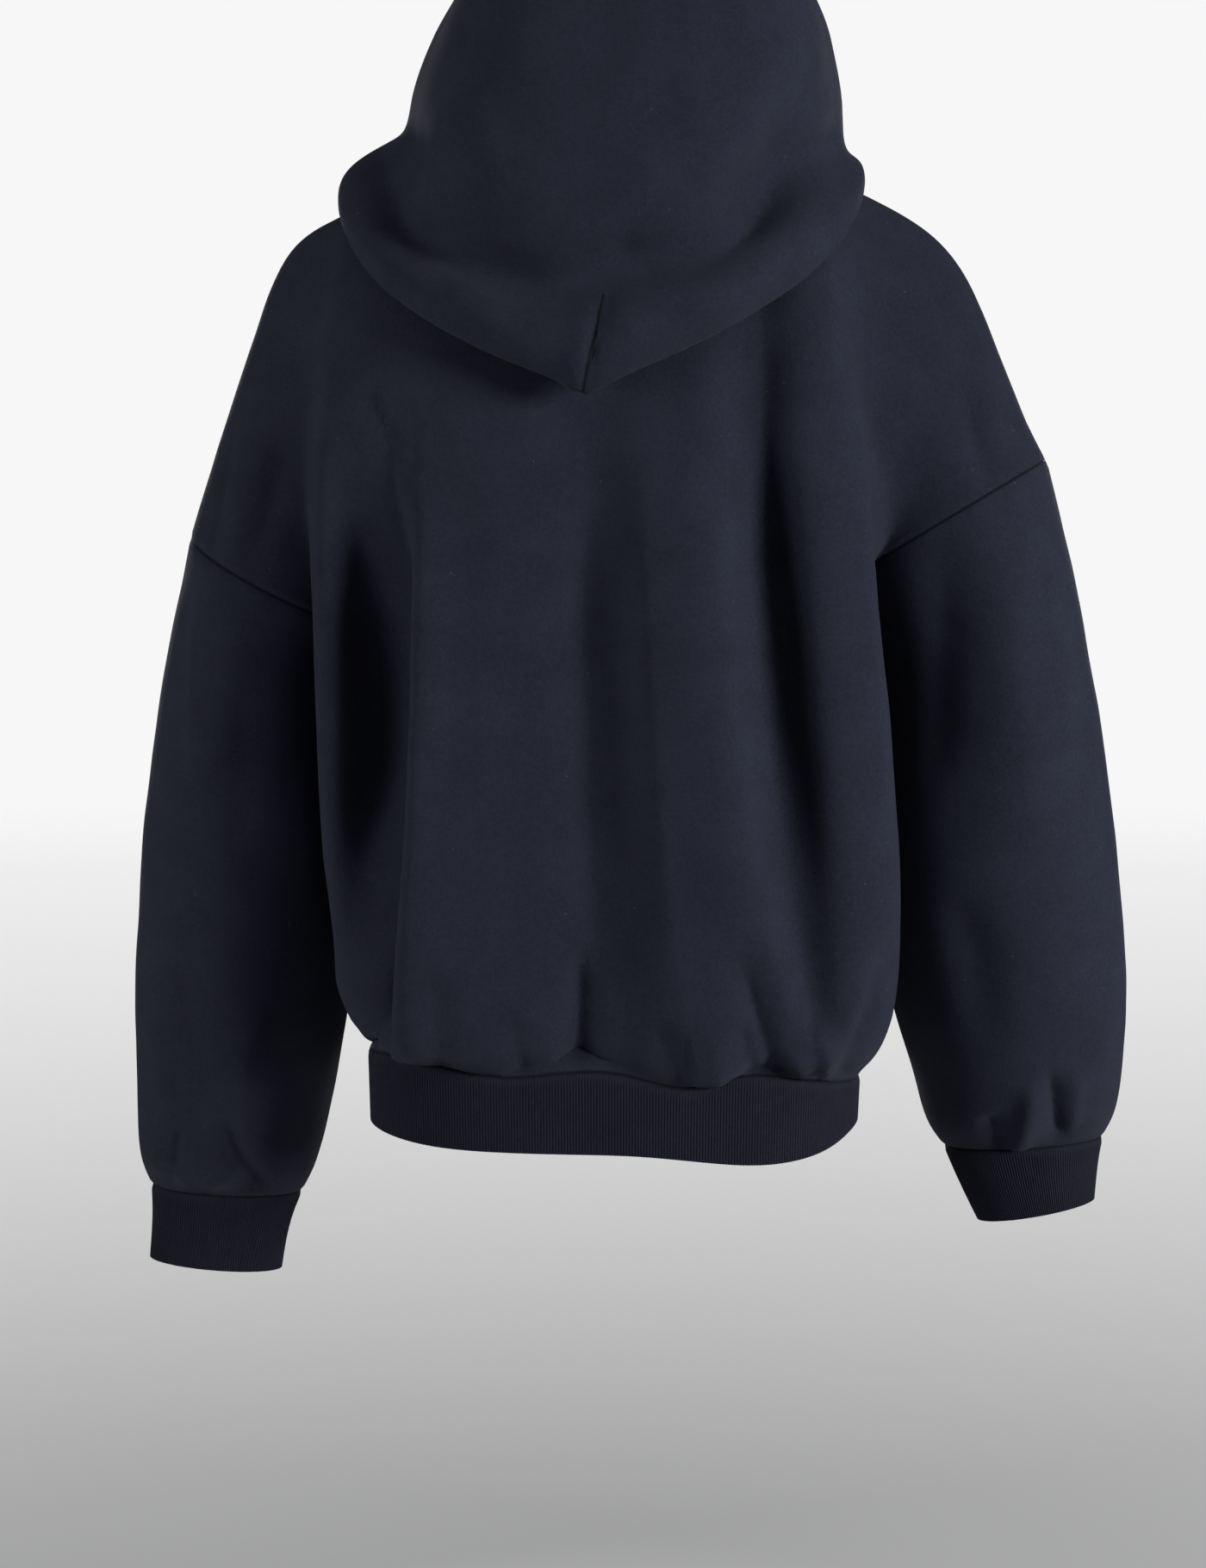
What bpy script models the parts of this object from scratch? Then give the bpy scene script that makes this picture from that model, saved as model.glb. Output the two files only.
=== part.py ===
# A pullover hoodie in a heavy, smooth double knit, in the shape that it hangs in when worn: a boxy body
# with dropped shoulders, full sleeves, ribbed cuffs and hem, and a large hood that stands up and slumps
# into a roll round the neck. Metres, +Z up. The front faces -Y and the wearer's left is +X. The origin
# is between the two shoulders, level with their highest seam points.
import bpy
import numpy as np

# Cloth and seams
WALL = 0.0022          # thickness of the double knit
SEAM_GAP = 0.0003      # two sewn pieces stay this far apart
SEAM_TURN = 0.012      # over this distance from a seam a wall turns to the face it shares there
SEAM_SMOOTH = 0.012    # along a seam that face turns gently over this distance
RIM_SLANT = (1, 0.4, 0.6)   # the direction in which the cells of all rims are split

# Cells between the rows and lines of the tables below
LINE_CELLS = (3, 3, 2, 1, 3, 8)        # from a panel's outer edge to its centre line
ARMHOLE_CELLS = (4, 3, 3, 2)           # down an armhole, from the shoulder seam
SIDE_CELLS = (2, 2, 2, 2, 1, 1)        # down a side seam
SLEEVE_CELLS = (3, 2, 2, 2, 2, 2, 1)   # from armhole to cuff
HOOD_CELLS = (1, 2, 2, 2, 2, 2, 2, 2, 3, 2, 2, 2)   # from neck seam to crown

# Ribbing
RIB_TOP_WIDE = 0.1735  # half the width of the hem rib at its seam
RIB_END_WIDE = 0.1720
RIB_END_DEEP = 0.985   # depth of its lower edge, as a share of the seam's
RIB_BACK = 0.119       # from the origin's plane to the back of the hem rib
RIB_FRONT = 0.127
RIB_CENTRE_X = 0.003
RIB_SQUARE = 2.8       # how far from an ellipse (2) towards a rectangle the hem rib is
RIB_SHARES = (0, 0.32, 0.55, 0.70, 0.83, 0.92, 1)   # where a panel's lines meet the rib, from its centre
RIB_BAND_CELLS = 2     # down the hem rib and the cuffs
RIB_COLUMNS = 4        # outer columns for each inner one, so two ribs
RIB_HIGH = 0.0006      # how far a rib stands out


def table(columns, *rows):
    # A table with a name for each column, as a dictionary of arrays.
    return dict(zip(columns.split(), np.array(rows, float).T))


# Centre lines of the back and the front, a row for each level from the neck seam to the hem rib
CENTRE = table(
    "back_y  back_z  front_y  front_z",
    (0.070, 0.000, -0.098, -0.085),     # neck seam
    (0.106, -0.072, -0.114, -0.125),    # shoulder blades
    (0.127, -0.142, -0.130, -0.175),
    (0.134, -0.217, -0.141, -0.232),
    (0.137, -0.292, -0.148, -0.294),    # under the arms
    (0.139, -0.368, -0.153, -0.370),
    (0.141, -0.450, -0.155, -0.452),
    (0.140, -0.528, -0.152, -0.528),
    (0.137, -0.566, -0.148, -0.566),    # the body blouses over the rib
    (0.130, -0.587, -0.140, -0.587),
)

# Each quarter of the body, a row for each level below the shoulder seam. fold is the outermost fold of
# the body, dip the hollow between body and arm, and arm the cloth that lies over the upper arm.
QUARTERS = {
    "left_back": table(
        "fold_x  fold_y  fold_z  dip_x  dip_y  arm_x  arm_y",
        (0.2015, 0.061, -0.077, 0.2230, 0.050, 0.262, 0.045),
        (0.2068, 0.078, -0.170, 0.2140, 0.058, 0.229, 0.058),
        (0.2060, 0.080, -0.261, 0.2040, 0.060, 0.198, 0.047),
        (0.2035, 0.080, -0.326, 0.1950, 0.052, 0.1745, 0.012),
        (0.2015, 0.080, -0.382, 0.1900, 0.050, 0.163, 0.012),
        (0.1980, 0.080, -0.455, 0.1940, 0.050, 0.176, 0.012),
        (0.1930, 0.078, -0.528, 0.1920, 0.048, 0.182, 0.012),
        (0.1880, 0.072, -0.562, 0.1900, 0.044, 0.187, 0.012),
        (0.1760, 0.064, -0.584, 0.1790, 0.038, 0.179, 0.010),
    ),
    "right_back": table(
        "fold_x  fold_y  fold_z  dip_x  dip_y  arm_x  arm_y",
        (0.1520, 0.078, -0.075, 0.1800, 0.062, 0.240, 0.050),
        (0.1585, 0.088, -0.160, 0.1760, 0.062, 0.204, 0.050),
        (0.1685, 0.090, -0.237, 0.1750, 0.060, 0.180, 0.038),
        (0.1770, 0.087, -0.298, 0.1720, 0.052, 0.162, 0.012),
        (0.1855, 0.084, -0.372, 0.1760, 0.050, 0.152, 0.012),
        (0.1905, 0.082, -0.452, 0.1880, 0.050, 0.172, 0.012),
        (0.1915, 0.078, -0.530, 0.1910, 0.048, 0.180, 0.012),
        (0.1860, 0.072, -0.570, 0.1870, 0.044, 0.183, 0.012),
        (0.1740, 0.064, -0.596, 0.1770, 0.038, 0.176, 0.010),
    ),
    "left_front": table(
        "fold_x  fold_y  fold_z  dip_x  dip_y  arm_x  arm_y",
        (0.1800, -0.074, -0.075, 0.2120, -0.070, 0.257, -0.090),
        (0.1960, -0.112, -0.168, 0.2110, -0.099, 0.229, -0.109),
        (0.1995, -0.121, -0.262, 0.2035, -0.114, 0.198, -0.103),
        (0.2000, -0.119, -0.324, 0.1890, -0.094, 0.1705, -0.061),
        (0.1990, -0.116, -0.382, 0.1860, -0.088, 0.162, -0.057),
        (0.1970, -0.112, -0.455, 0.1930, -0.082, 0.176, -0.055),
        (0.1940, -0.109, -0.528, 0.1920, -0.078, 0.181, -0.052),
        (0.1880, -0.102, -0.563, 0.1900, -0.070, 0.187, -0.044),
        (0.1760, -0.092, -0.585, 0.1790, -0.062, 0.179, -0.038),
    ),
    "right_front": table(
        "fold_x  fold_y  fold_z  dip_x  dip_y  arm_x  arm_y",
        (0.1700, -0.075, -0.072, 0.2000, -0.070, 0.247, -0.083),
        (0.1790, -0.110, -0.156, 0.1920, -0.095, 0.209, -0.101),
        (0.1840, -0.119, -0.236, 0.1905, -0.111, 0.188, -0.100),
        (0.1875, -0.118, -0.296, 0.1770, -0.092, 0.1600, -0.059),
        (0.1900, -0.116, -0.372, 0.1770, -0.087, 0.151, -0.055),
        (0.1930, -0.112, -0.452, 0.1890, -0.082, 0.172, -0.055),
        (0.1940, -0.109, -0.530, 0.1920, -0.078, 0.180, -0.052),
        (0.1860, -0.102, -0.570, 0.1870, -0.070, 0.183, -0.044),
        (0.1740, -0.092, -0.595, 0.1770, -0.062, 0.176, -0.038),
    ),
}
# Where each line of a panel lies: shares of the way from the centre line (0) to the fold (1)
BLADE_SHARES = (0.62, 0.03, 0.30)      # of the fold's x, and from centre to fold in y and z
TURN_SHARES = (0.89, 0.42, 0.70)
DIP_DROP_SHARE = 0.32                  # from the fold's level to the edge's
ARM_DROP_SHARE = 0.68
ARMPIT_LEVEL = 3       # the level under the arm, where dip and arm hang lower than the seam's end
ARMPIT_DROP = 0.016
# Shares of the shoulder seam where the lines blade, turn, fold, dip, arm and edge start
LINE_STARTS = {"left": (0, 0.16, 0.31, 0.50, 0.75, 1), "right": (0, 0.10, 0.20, 0.36, 0.68, 1)}

# The shoulder seam, over the shoulder and down the upper arm to the top of the sleeve
SHOULDER_SEAM = {
    "left": table(
        "x  y  z",
        (0.100, -0.004, 0.022),
        (0.150, -0.010, 0.012),
        (0.2000, -0.015, -0.004),
        (0.2260, -0.018, -0.018),
        (0.2440, -0.020, -0.040),
        (0.2600, -0.022, -0.078),
        (0.2740, -0.024, -0.122),
        (0.2915, -0.026, -0.177),
        (0.3080, -0.028, -0.2275),
    ),
    "right": table(
        "x  y  z",
        (0.100, -0.004, 0.026),
        (0.1400, -0.006, 0.023),
        (0.1740, -0.008, 0.011),
        (0.2050, -0.008, -0.005),
        (0.2250, -0.008, -0.020),
        (0.2420, -0.008, -0.040),
        (0.2650, -0.006, -0.092),
        (0.2820, -0.004, -0.135),
        (0.3000, -0.003, -0.175),
    ),
}

# The armhole seams, as ellipses from the top of the sleeve to under the arm. start is the angle where
# the shoulder seam meets it, towards the back, and sag the drop of its back half.
ARMHOLES = {
    "left": dict(
        top_x=0.3090, top_z=-0.2275, under_x=0.172, under_z=-0.297, y=-0.028, deep=0.090, start=0, sag=0.011,
    ),
    "right": dict(
        top_x=0.3060, top_z=-0.1750, under_x=0.160, under_z=-0.262, y=-0.028, deep=0.082, start=18, sag=0,
    ),
}

# The side seams below the arms, at the levels of the rows above
SIDE_SEAM = {
    "left": table(
        "x  y  z",
        (0.1470, -0.024, -0.374), (0.1550, -0.022, -0.452), (0.1720, -0.020, -0.528),
        (0.1840, -0.017, -0.563), (0.1790, -0.014, -0.585),
    ),
    "right": table(
        "x  y  z",
        (0.1360, -0.024, -0.366), (0.1470, -0.022, -0.452), (0.1700, -0.020, -0.530),
        (0.1810, -0.017, -0.570), (0.1760, -0.014, -0.596),
    ),
}

# The hem rib's seam rises and falls with the gathers of the back and the front
HEM_SEAM = table(
    "x  z",
    (-0.180, -0.612), (-0.140, -0.606), (-0.110, -0.600), (-0.086, -0.599), (-0.054, -0.606),
    (-0.016, -0.599), (0.026, -0.596), (0.070, -0.600), (0.110, -0.595), (0.150, -0.590), (0.180, -0.594),
)
# Its lower edge, which is pulled up at both sides and hangs lowest right of the middle
HEM_END = table(
    "x  z",
    (-0.180, -0.639), (-0.166, -0.643), (-0.150, -0.651), (-0.126, -0.658), (-0.098, -0.660),
    (-0.060, -0.657), (-0.020, -0.653), (0.030, -0.6515), (0.080, -0.651), (0.118, -0.650),
    (0.150, -0.647), (0.180, -0.642),
)

# The large folds of the back: a line from top to bottom, how far its middle bows towards the left, and
# how far it is raised or sunk
BACK_FOLDS = table(
    "top_x  top_z  bottom_x  bottom_z  bow  half_wide  height",
    (0.186, -0.16, 0.186, -0.57, -0.020, 0.021, -0.024),
    (0.124, -0.21, 0.172, -0.57, -0.010, 0.019, 0.009),
    (0.016, -0.15, 0.008, -0.60, -0.018, 0.024, -0.007),
    (-0.030, -0.15, -0.098, -0.57, -0.010, 0.028, 0.008),
    (-0.088, -0.10, -0.140, -0.54, 0.006, 0.022, -0.014),
)
FRONT_FOLDS = table(
    "top_x  top_z  bottom_x  bottom_z  bow  half_wide  height",
    (0.166, -0.20, 0.160, -0.57, -0.014, 0.020, -0.018),
    (0.060, -0.26, 0.050, -0.59, 0.006, 0.026, 0.006),
    (0.000, -0.20, -0.006, -0.60, 0.010, 0.026, -0.007),
    (-0.070, -0.22, -0.080, -0.59, -0.006, 0.028, 0.007),
    (-0.150, -0.19, -0.152, -0.56, 0.012, 0.020, -0.016),
)

# The sleeves, a row for each section below the armhole. wide and deep are half sizes, and tilt turns
# the section so that its outer side is higher.
SLEEVES = {
    "left": table(
        "x  y  z  wide  deep  tilt",
        (0.2630, -0.030, -0.362, 0.0710, 0.088, 13),
        (0.2660, -0.032, -0.450, 0.0795, 0.086, 6),
        (0.2735, -0.035, -0.530, 0.0785, 0.082, 4),
        (0.2805, -0.038, -0.600, 0.0740, 0.074, 3),
        (0.2860, -0.041, -0.655, 0.0685, 0.063, 3),
        (0.2895, -0.043, -0.690, 0.0620, 0.050, 3),
        (0.2910, -0.044, -0.707, 0.0545, 0.036, 3),
    ),
    "right": table(
        "x  y  z  wide  deep  tilt",
        (0.2630, -0.030, -0.345, 0.0800, 0.086, 15),
        (0.2670, -0.032, -0.430, 0.0885, 0.086, 8),
        (0.2770, -0.035, -0.510, 0.0875, 0.082, 5),
        (0.2870, -0.038, -0.580, 0.0810, 0.074, 4),
        (0.2930, -0.041, -0.625, 0.0735, 0.063, 4),
        (0.2955, -0.043, -0.655, 0.0660, 0.050, 4),
        (0.2970, -0.044, -0.670, 0.0570, 0.036, 4),
    ),
}

# The cuffs, below the sleeve's last section
CUFFS = {
    "left": table(
        "x  y  z  wide  deep  tilt",
        (0.2940, -0.0445, -0.722, 0.0510, 0.031, 4),
        (0.3000, -0.046, -0.764, 0.0475, 0.028, 5),
    ),
    "right": table(
        "x  y  z  wide  deep  tilt",
        (0.3000, -0.0445, -0.686, 0.0520, 0.031, 8),
        (0.3070, -0.046, -0.721, 0.0420, 0.028, 11),
    ),
}

# The hood, a row for each level from the neck seam, out and down under the roll, up its outer face to
# the crease, and up to the crown. centre is the centre back, quarter half way to the side.
HOOD_CENTRE = table(
    "x  y  z  face_x  face_y  face_z",
    (0.000, 0.070, 0.000, 0.001, -0.098, -0.085),    # neck seam
    (0.002, 0.086, 0.010, 0.008, -0.109, -0.064),
    (0.006, 0.112, -0.012, 0.017, -0.117, -0.042),
    (0.013, 0.134, -0.074, 0.029, -0.123, -0.018),
    (0.018, 0.153, -0.128, 0.042, -0.127, 0.007),    # lower edge of the roll
    (0.014, 0.171, -0.112, 0.054, -0.128, 0.030),
    (0.008, 0.159, -0.074, 0.064, -0.127, 0.052),    # crease
    (0.004, 0.171, -0.036, 0.071, -0.124, 0.074),
    (0.000, 0.178, 0.034, 0.074, -0.118, 0.100),
    (0.000, 0.172, 0.098, 0.070, -0.110, 0.126),
    (0.000, 0.150, 0.150, 0.058, -0.102, 0.150),
    (0.000, 0.108, 0.184, 0.035, -0.096, 0.170),
    (0.000, 0.056, 0.197, 0.000, -0.093, 0.180),     # crown seam
)
HOOD_SIDES = {
    "left": table(
        "side_x  side_y  side_z  quarter_x  quarter_y  quarter_z",
        (0.100, -0.004, 0.022, 0.074, 0.048, 0.011),
        (0.110, -0.002, 0.040, 0.084, 0.060, 0.024),
        (0.134, 0.002, 0.040, 0.104, 0.082, 0.008),
        (0.168, 0.014, 0.020, 0.118, 0.110, -0.048),
        (0.189, 0.040, -0.009, 0.114, 0.136, -0.102),
        (0.193, 0.041, 0.004, 0.118, 0.145, -0.085),
        (0.167, 0.029, 0.035, 0.110, 0.130, -0.049),
        (0.150, 0.022, 0.050, 0.105, 0.138, -0.018),
        (0.137, 0.020, 0.084, 0.100, 0.141, 0.044),
        (0.119, 0.016, 0.124, 0.089, 0.132, 0.106),
        (0.098, 0.010, 0.160, 0.073, 0.112, 0.155),
        (0.064, 0.004, 0.188, 0.046, 0.080, 0.188),
        (0.000, -0.004, 0.202, 0.000, 0.028, 0.203),
    ),
    "right": table(
        "side_x  side_y  side_z  quarter_x  quarter_y  quarter_z",
        (0.100, -0.004, 0.026, 0.074, 0.048, 0.013),
        (0.108, -0.002, 0.042, 0.082, 0.060, 0.026),
        (0.126, 0.002, 0.042, 0.098, 0.082, 0.010),
        (0.149, 0.014, 0.025, 0.098, 0.109, -0.042),
        (0.166, 0.034, 0.000, 0.092, 0.129, -0.090),
        (0.170, 0.039, 0.011, 0.094, 0.145, -0.068),
        (0.160, 0.026, 0.034, 0.098, 0.127, -0.010),
        (0.156, 0.022, 0.050, 0.106, 0.134, 0.012),
        (0.150, 0.020, 0.084, 0.112, 0.137, 0.058),
        (0.141, 0.016, 0.122, 0.106, 0.129, 0.112),
        (0.126, 0.010, 0.154, 0.092, 0.109, 0.152),
        (0.078, 0.004, 0.182, 0.054, 0.077, 0.184),
        (0.000, -0.004, 0.202, 0.000, 0.028, 0.203),
    ),
}
# How far each row rises where it passes over the top of the shoulder, from the neck seam to the crown
SHOULDER_LIFT = (0, 0, 0.004, 0.009, 0.018, 0.012, 0.004, 0, 0, 0, 0, 0, 0)
HOOD_LINE_CELLS = (4, 2, 2, 4, 4)   # face, cheek, shoulder, side, quarter and centre lines
CHEEK_BULGE = 0.024    # how far the hood swells out between its side and its face edge
ROLL_ROW = 4           # the row of the roll's lower edge
DART_DROP = 0.021      # the dart at the nape pulls the roll's edge down to a point
DART_REACH = 0.032


# Curves and surfaces

def spline_weights(knots, places):
    # The matrix that reads a natural cubic spline through values at knots, at the given places.
    knots = np.asarray(knots, float)
    steps = np.diff(knots)
    count = len(knots)
    system = np.eye(count)
    right = np.zeros((count, count))
    for i in range(1, count - 1):
        system[i, i - 1:i + 2] = steps[i - 1], 2 * (steps[i - 1] + steps[i]), steps[i]
        right[i, i - 1:i + 2] = 6 / steps[i - 1], -6 / steps[i - 1] - 6 / steps[i], 6 / steps[i]
    bends = np.linalg.solve(system, right)
    weights = []
    for place in np.atleast_1d(places):
        i = int(np.clip(np.searchsorted(knots, place, side="right") - 1, 0, count - 2))
        step = steps[i]
        after = (place - knots[i]) / step
        before = 1 - after
        row = ((before ** 3 - before) * bends[i] + (after ** 3 - after) * bends[i + 1]) * step ** 2 / 6
        row[i] += before
        row[i + 1] += after
        weights.append(row)
    return np.array(weights)


def lengths_along(points):
    # The share of a line's length at each of its points, from 0 to 1.
    steps = np.linalg.norm(np.diff(points, axis=0), axis=1)
    return np.concatenate([[0], np.cumsum(steps)]) / steps.sum()


def smooth_line(points, places):
    points = np.asarray(points, float)
    return spline_weights(lengths_along(points), places) @ points


def mean_lengths(net, axis):
    # Knots for one direction of a net of points, from its mean spacing.
    steps = np.linalg.norm(np.diff(net, axis=axis), axis=2).mean(axis=1 - axis)
    return np.concatenate([[0], np.cumsum(steps)]) / steps.sum()


def places_between(knots, cells):
    # Places from knot to knot, with the given number of even cells in each interval.
    runs = [np.linspace(a, b, n, endpoint=False) for a, b, n in zip(knots, knots[1:], cells)]
    return np.concatenate(runs + [knots[-1:]])


def net_surface(net, row_cells, column_cells, ghosts):
    # A smooth surface through a net of points, with the given cells between its rows and its columns.
    # ghosts are the net's neighbours in the pieces that it runs on into: row_before, row_after,
    # column_before and column_after, where it has them.
    row_knots = mean_lengths(net, 0)
    column_knots = mean_lengths(net, 1)
    down = places_between(row_knots, row_cells)
    across = places_between(column_knots, column_cells)
    if "column_before" in ghosts:
        net = np.concatenate([ghosts["column_before"][:, None], net, ghosts["column_after"][:, None]], axis=1)
        column_knots = np.concatenate([[-column_knots[1]], column_knots, [2 - column_knots[-2]]])
    if "row_before" in ghosts:
        net = np.concatenate([fit_ghost(ghosts["row_before"], net, 0)[None], net])
        row_knots = np.concatenate([[-row_knots[1]], row_knots])
    if "row_after" in ghosts:
        net = np.concatenate([net, fit_ghost(ghosts["row_after"], net, -1)[None]])
        row_knots = np.concatenate([row_knots, [2 - row_knots[-2]]])
    rows = spline_weights(row_knots, down)
    columns = spline_weights(column_knots, across)
    return np.einsum("ri,ijk,cj->rck", rows, net, columns)


def fit_ghost(ghost, net, row):
    # A ghost row as wide as the net. The net may have gained a column at each side.
    if len(ghost) == net.shape[1]:
        return ghost
    next_row = 1 if row == 0 else -2
    ends = 2 * net[row] - net[next_row]
    return np.concatenate([ends[:1], ghost, ends[-1:]])


def ease(distance, reach):
    # Falls smoothly from 1 at a seam to 0 at the given reach from it.
    share = np.clip(distance / reach, 0, 1)
    return (1 - share) ** 2 * (1 + 2 * share)


def unit(vectors):
    return vectors / np.linalg.norm(vectors, axis=-1, keepdims=True)


def normals_of(grid, around=False):
    # Normals of a grid of points, from the cells beside each point. Rows run down and columns to the
    # left, seen from the side that the normals point to.
    if around:
        grid = np.concatenate([grid, grid[:, :1]], axis=1)
    cells = np.cross(grid[:-1, 1:] - grid[1:, :-1], grid[1:, 1:] - grid[:-1, :-1])
    sums = np.zeros_like(grid)
    for rows in (slice(None, -1), slice(1, None)):
        for columns in (slice(None, -1), slice(1, None)):
            sums[rows, columns] += cells
    if around:
        sums[:, 0] += sums[:, -1]
        sums = sums[:, :-1]
    return unit(sums)


# Body

def side_sign(side):
    return 1 if side == "left" else -1


def neck_line(part):
    # The neck seam of the back or the front, from the right shoulder to the left.
    angles = np.linspace(-np.pi / 2, np.pi / 2, 2 * LINE_CELLS[-1] + 1)
    left = SHOULDER_SEAM["left"]
    high = np.where(angles < 0, SHOULDER_SEAM["right"]["z"][0], left["z"][0])
    middle_y = CENTRE[part + "_y"][0]
    middle_z = CENTRE[part + "_z"][0]
    return np.stack([
        left["x"][0] * np.sin(angles),
        left["y"][0] + (middle_y - left["y"][0]) * np.cos(angles),
        high + (middle_z - high) * np.cos(angles) ** 2,
    ], axis=1)


def shoulder_line(side, places):
    # The shoulder seam, read at the given shares of its way from the neck to the top of the sleeve.
    seam = SHOULDER_SEAM[side]
    points = np.stack([side_sign(side) * seam["x"], seam["y"], seam["z"]], axis=1)
    points[-1] = armhole_point(side, np.radians(ARMHOLES[side]["start"]))
    return smooth_line(points, places)


def armhole_point(side, angle):
    # A point of the armhole: angle 0 is its top, a quarter turn its back and half a turn under the arm.
    hole = ARMHOLES[side]
    middle_x = (hole["top_x"] + hole["under_x"]) / 2
    middle_z = (hole["top_z"] + hole["under_z"]) / 2
    x = middle_x + (hole["top_x"] - middle_x) * np.cos(angle)
    y = hole["y"] + hole["deep"] * np.sin(angle)
    z = middle_z + (hole["top_z"] - middle_z) * np.cos(angle) - hole["sag"] * max(np.sin(angle), 0)
    return np.array([side_sign(side) * x, y, z])


def armhole_angles(side, part, places):
    # From the shoulder seam to under the arm, over the back or over the front.
    start = np.radians(ARMHOLES[side]["start"])
    return start + ((np.pi if part == "back" else -np.pi) - start) * places


def armhole_places():
    return places_between(np.linspace(0, 1, len(ARMHOLE_CELLS) + 1), ARMHOLE_CELLS)


def hem_seam_point(share, part):
    # A point of the hem rib's seam. share runs from -1 at the right side to 1 at the left.
    angle = share * np.pi / 2
    power = 2 / RIB_SQUARE
    x = RIB_TOP_WIDE * np.sign(np.sin(angle)) * abs(np.sin(angle)) ** power
    deep = RIB_BACK if part == "back" else -RIB_FRONT
    y = deep * abs(np.cos(angle)) ** power
    z = spline_weights(HEM_SEAM["x"], x) @ HEM_SEAM["z"]
    return np.array([RIB_CENTRE_X + x, y, z[0]])


def side_seam_points(side):
    seam = SIDE_SEAM[side]
    return np.stack([side_sign(side) * seam["x"], seam["y"], seam["z"]], axis=1)


def outer_line(side, part):
    # The edge of a panel from the shoulder seam round the armhole and down the side seam.
    armhole = [armhole_point(side, a) for a in armhole_angles(side, part, armhole_places())]
    points = np.concatenate([armhole[-1:], side_seam_points(side), [hem_seam_point(side_sign(side), part)]])
    side_line = smooth_line(points, places_between(lengths_along(points), SIDE_CELLS))
    return np.concatenate([armhole, side_line[1:]])


def between(centre, fold, shares):
    # A point part of the way from the centre line, which has x 0, to the outermost fold.
    return centre + (fold - centre) * np.array(shares)


def body_net(part):
    # The net of points of the back or the front, from the right edge over the centre to the left.
    middle = np.stack([np.zeros(len(CENTRE["back_y"])), CENTRE[part + "_y"], CENTRE[part + "_z"]], axis=1)
    halves = {}
    for side in ("left", "right"):
        sign = side_sign(side)
        quarter = QUARTERS[side + "_" + part]
        levels = np.linspace(0, 1, len(ARMHOLE_CELLS) + 1)
        edges = [armhole_point(side, a) for a in armhole_angles(side, part, levels)]
        edges += list(side_seam_points(side))
        rows = [shoulder_line(side, LINE_STARTS[side])]
        for i in range(len(quarter["fold_x"])):
            centre = middle[i + 1]
            edge = edges[i + 1]
            fold = np.array([sign * quarter["fold_x"][i], quarter["fold_y"][i], quarter["fold_z"][i]])
            blade = between(centre, fold, BLADE_SHARES)
            turn = between(centre, fold, TURN_SHARES)
            drop = ARMPIT_DROP if i == ARMPIT_LEVEL else 0
            dip_z = fold[2] + DIP_DROP_SHARE * (edge[2] - fold[2]) - drop / 2
            arm_z = fold[2] + ARM_DROP_SHARE * (edge[2] - fold[2]) - drop
            dip = np.array([sign * quarter["dip_x"][i], quarter["dip_y"][i], dip_z])
            arm = np.array([sign * quarter["arm_x"][i], quarter["arm_y"][i], arm_z])
            rows.append(np.array([blade, turn, fold, dip, arm, edge]))
        rows.append(np.array([hem_seam_point(sign * s, part) for s in RIB_SHARES[1:]]))
        halves[side] = np.array(rows)
    centre = np.concatenate([middle, [hem_seam_point(0, part)]])
    return np.concatenate([halves["right"][:, ::-1], centre[:, None], halves["left"]], axis=1)


def body_ghosts(net, other):
    # The back runs on over the shoulder seams and past the side seams into the front, and the other way.
    row = 2 * net[0] - net[1]
    beside_neck = np.arange(net.shape[1]) != len(LINE_CELLS)
    row[beside_neck] = other[1, beside_neck]
    before = 2 * net[:, 0] - net[:, 1]
    after = 2 * net[:, -1] - net[:, -2]
    before[5:] = other[5:, 1]
    after[5:] = other[5:, -2]
    return dict(row_before=row, column_before=before, column_after=after)


def fold_heights(points, folds):
    # How far the folds raise or sink a panel at its points.
    heights = np.zeros(points.shape[:-1])
    for i in range(len(folds["top_x"])):
        down = (points[..., 2] - folds["top_z"][i]) / (folds["bottom_z"][i] - folds["top_z"][i])
        line_x = folds["top_x"][i] + (folds["bottom_x"][i] - folds["top_x"][i]) * down
        line_x += folds["bow"][i] * np.sin(np.pi * np.clip(down, 0, 1))
        across = (points[..., 0] - line_x) / folds["half_wide"][i]
        swell = np.sin(np.pi * np.clip(down, 0, 1)) ** 0.7
        heights += folds["height"][i] * swell * np.exp(-across ** 2)
    return heights


def body_panel(part, folds):
    # The middle surface of the back or the front, its rows running down and its columns right to left.
    net = body_net(part)
    other = body_net("front" if part == "back" else "back")
    row_cells = ARMHOLE_CELLS + SIDE_CELLS
    column_cells = LINE_CELLS + LINE_CELLS[::-1]
    grid = net_surface(net, row_cells, column_cells, body_ghosts(net, other))
    outward = 1 if part == "back" else -1
    grid[..., 1] += fold_heights(grid, folds) * outward

    shoulder_cells = LINE_CELLS[-2::-1]
    shoulders = {side: shoulder_line(side, places_between(np.array(LINE_STARTS[side]), shoulder_cells))
                 for side in ("left", "right")}
    top = np.concatenate([shoulders["right"][::-1], neck_line(part)[1:-1], shoulders["left"]])
    shares = places_between(np.array(RIB_SHARES), LINE_CELLS[::-1])
    bottom = np.array([hem_seam_point(s, part) for s in [*-shares[:0:-1], *shares]])
    grid = pull_to(grid, top, 0, 0.09)
    grid = pull_to(grid, bottom, -1, 0.05)
    grid = pull_to(grid.swapaxes(0, 1), outer_line("right", part), 0, 0.07)
    grid = pull_to(grid, outer_line("left", part), -1, 0.07)
    return grid.swapaxes(0, 1)


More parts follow.
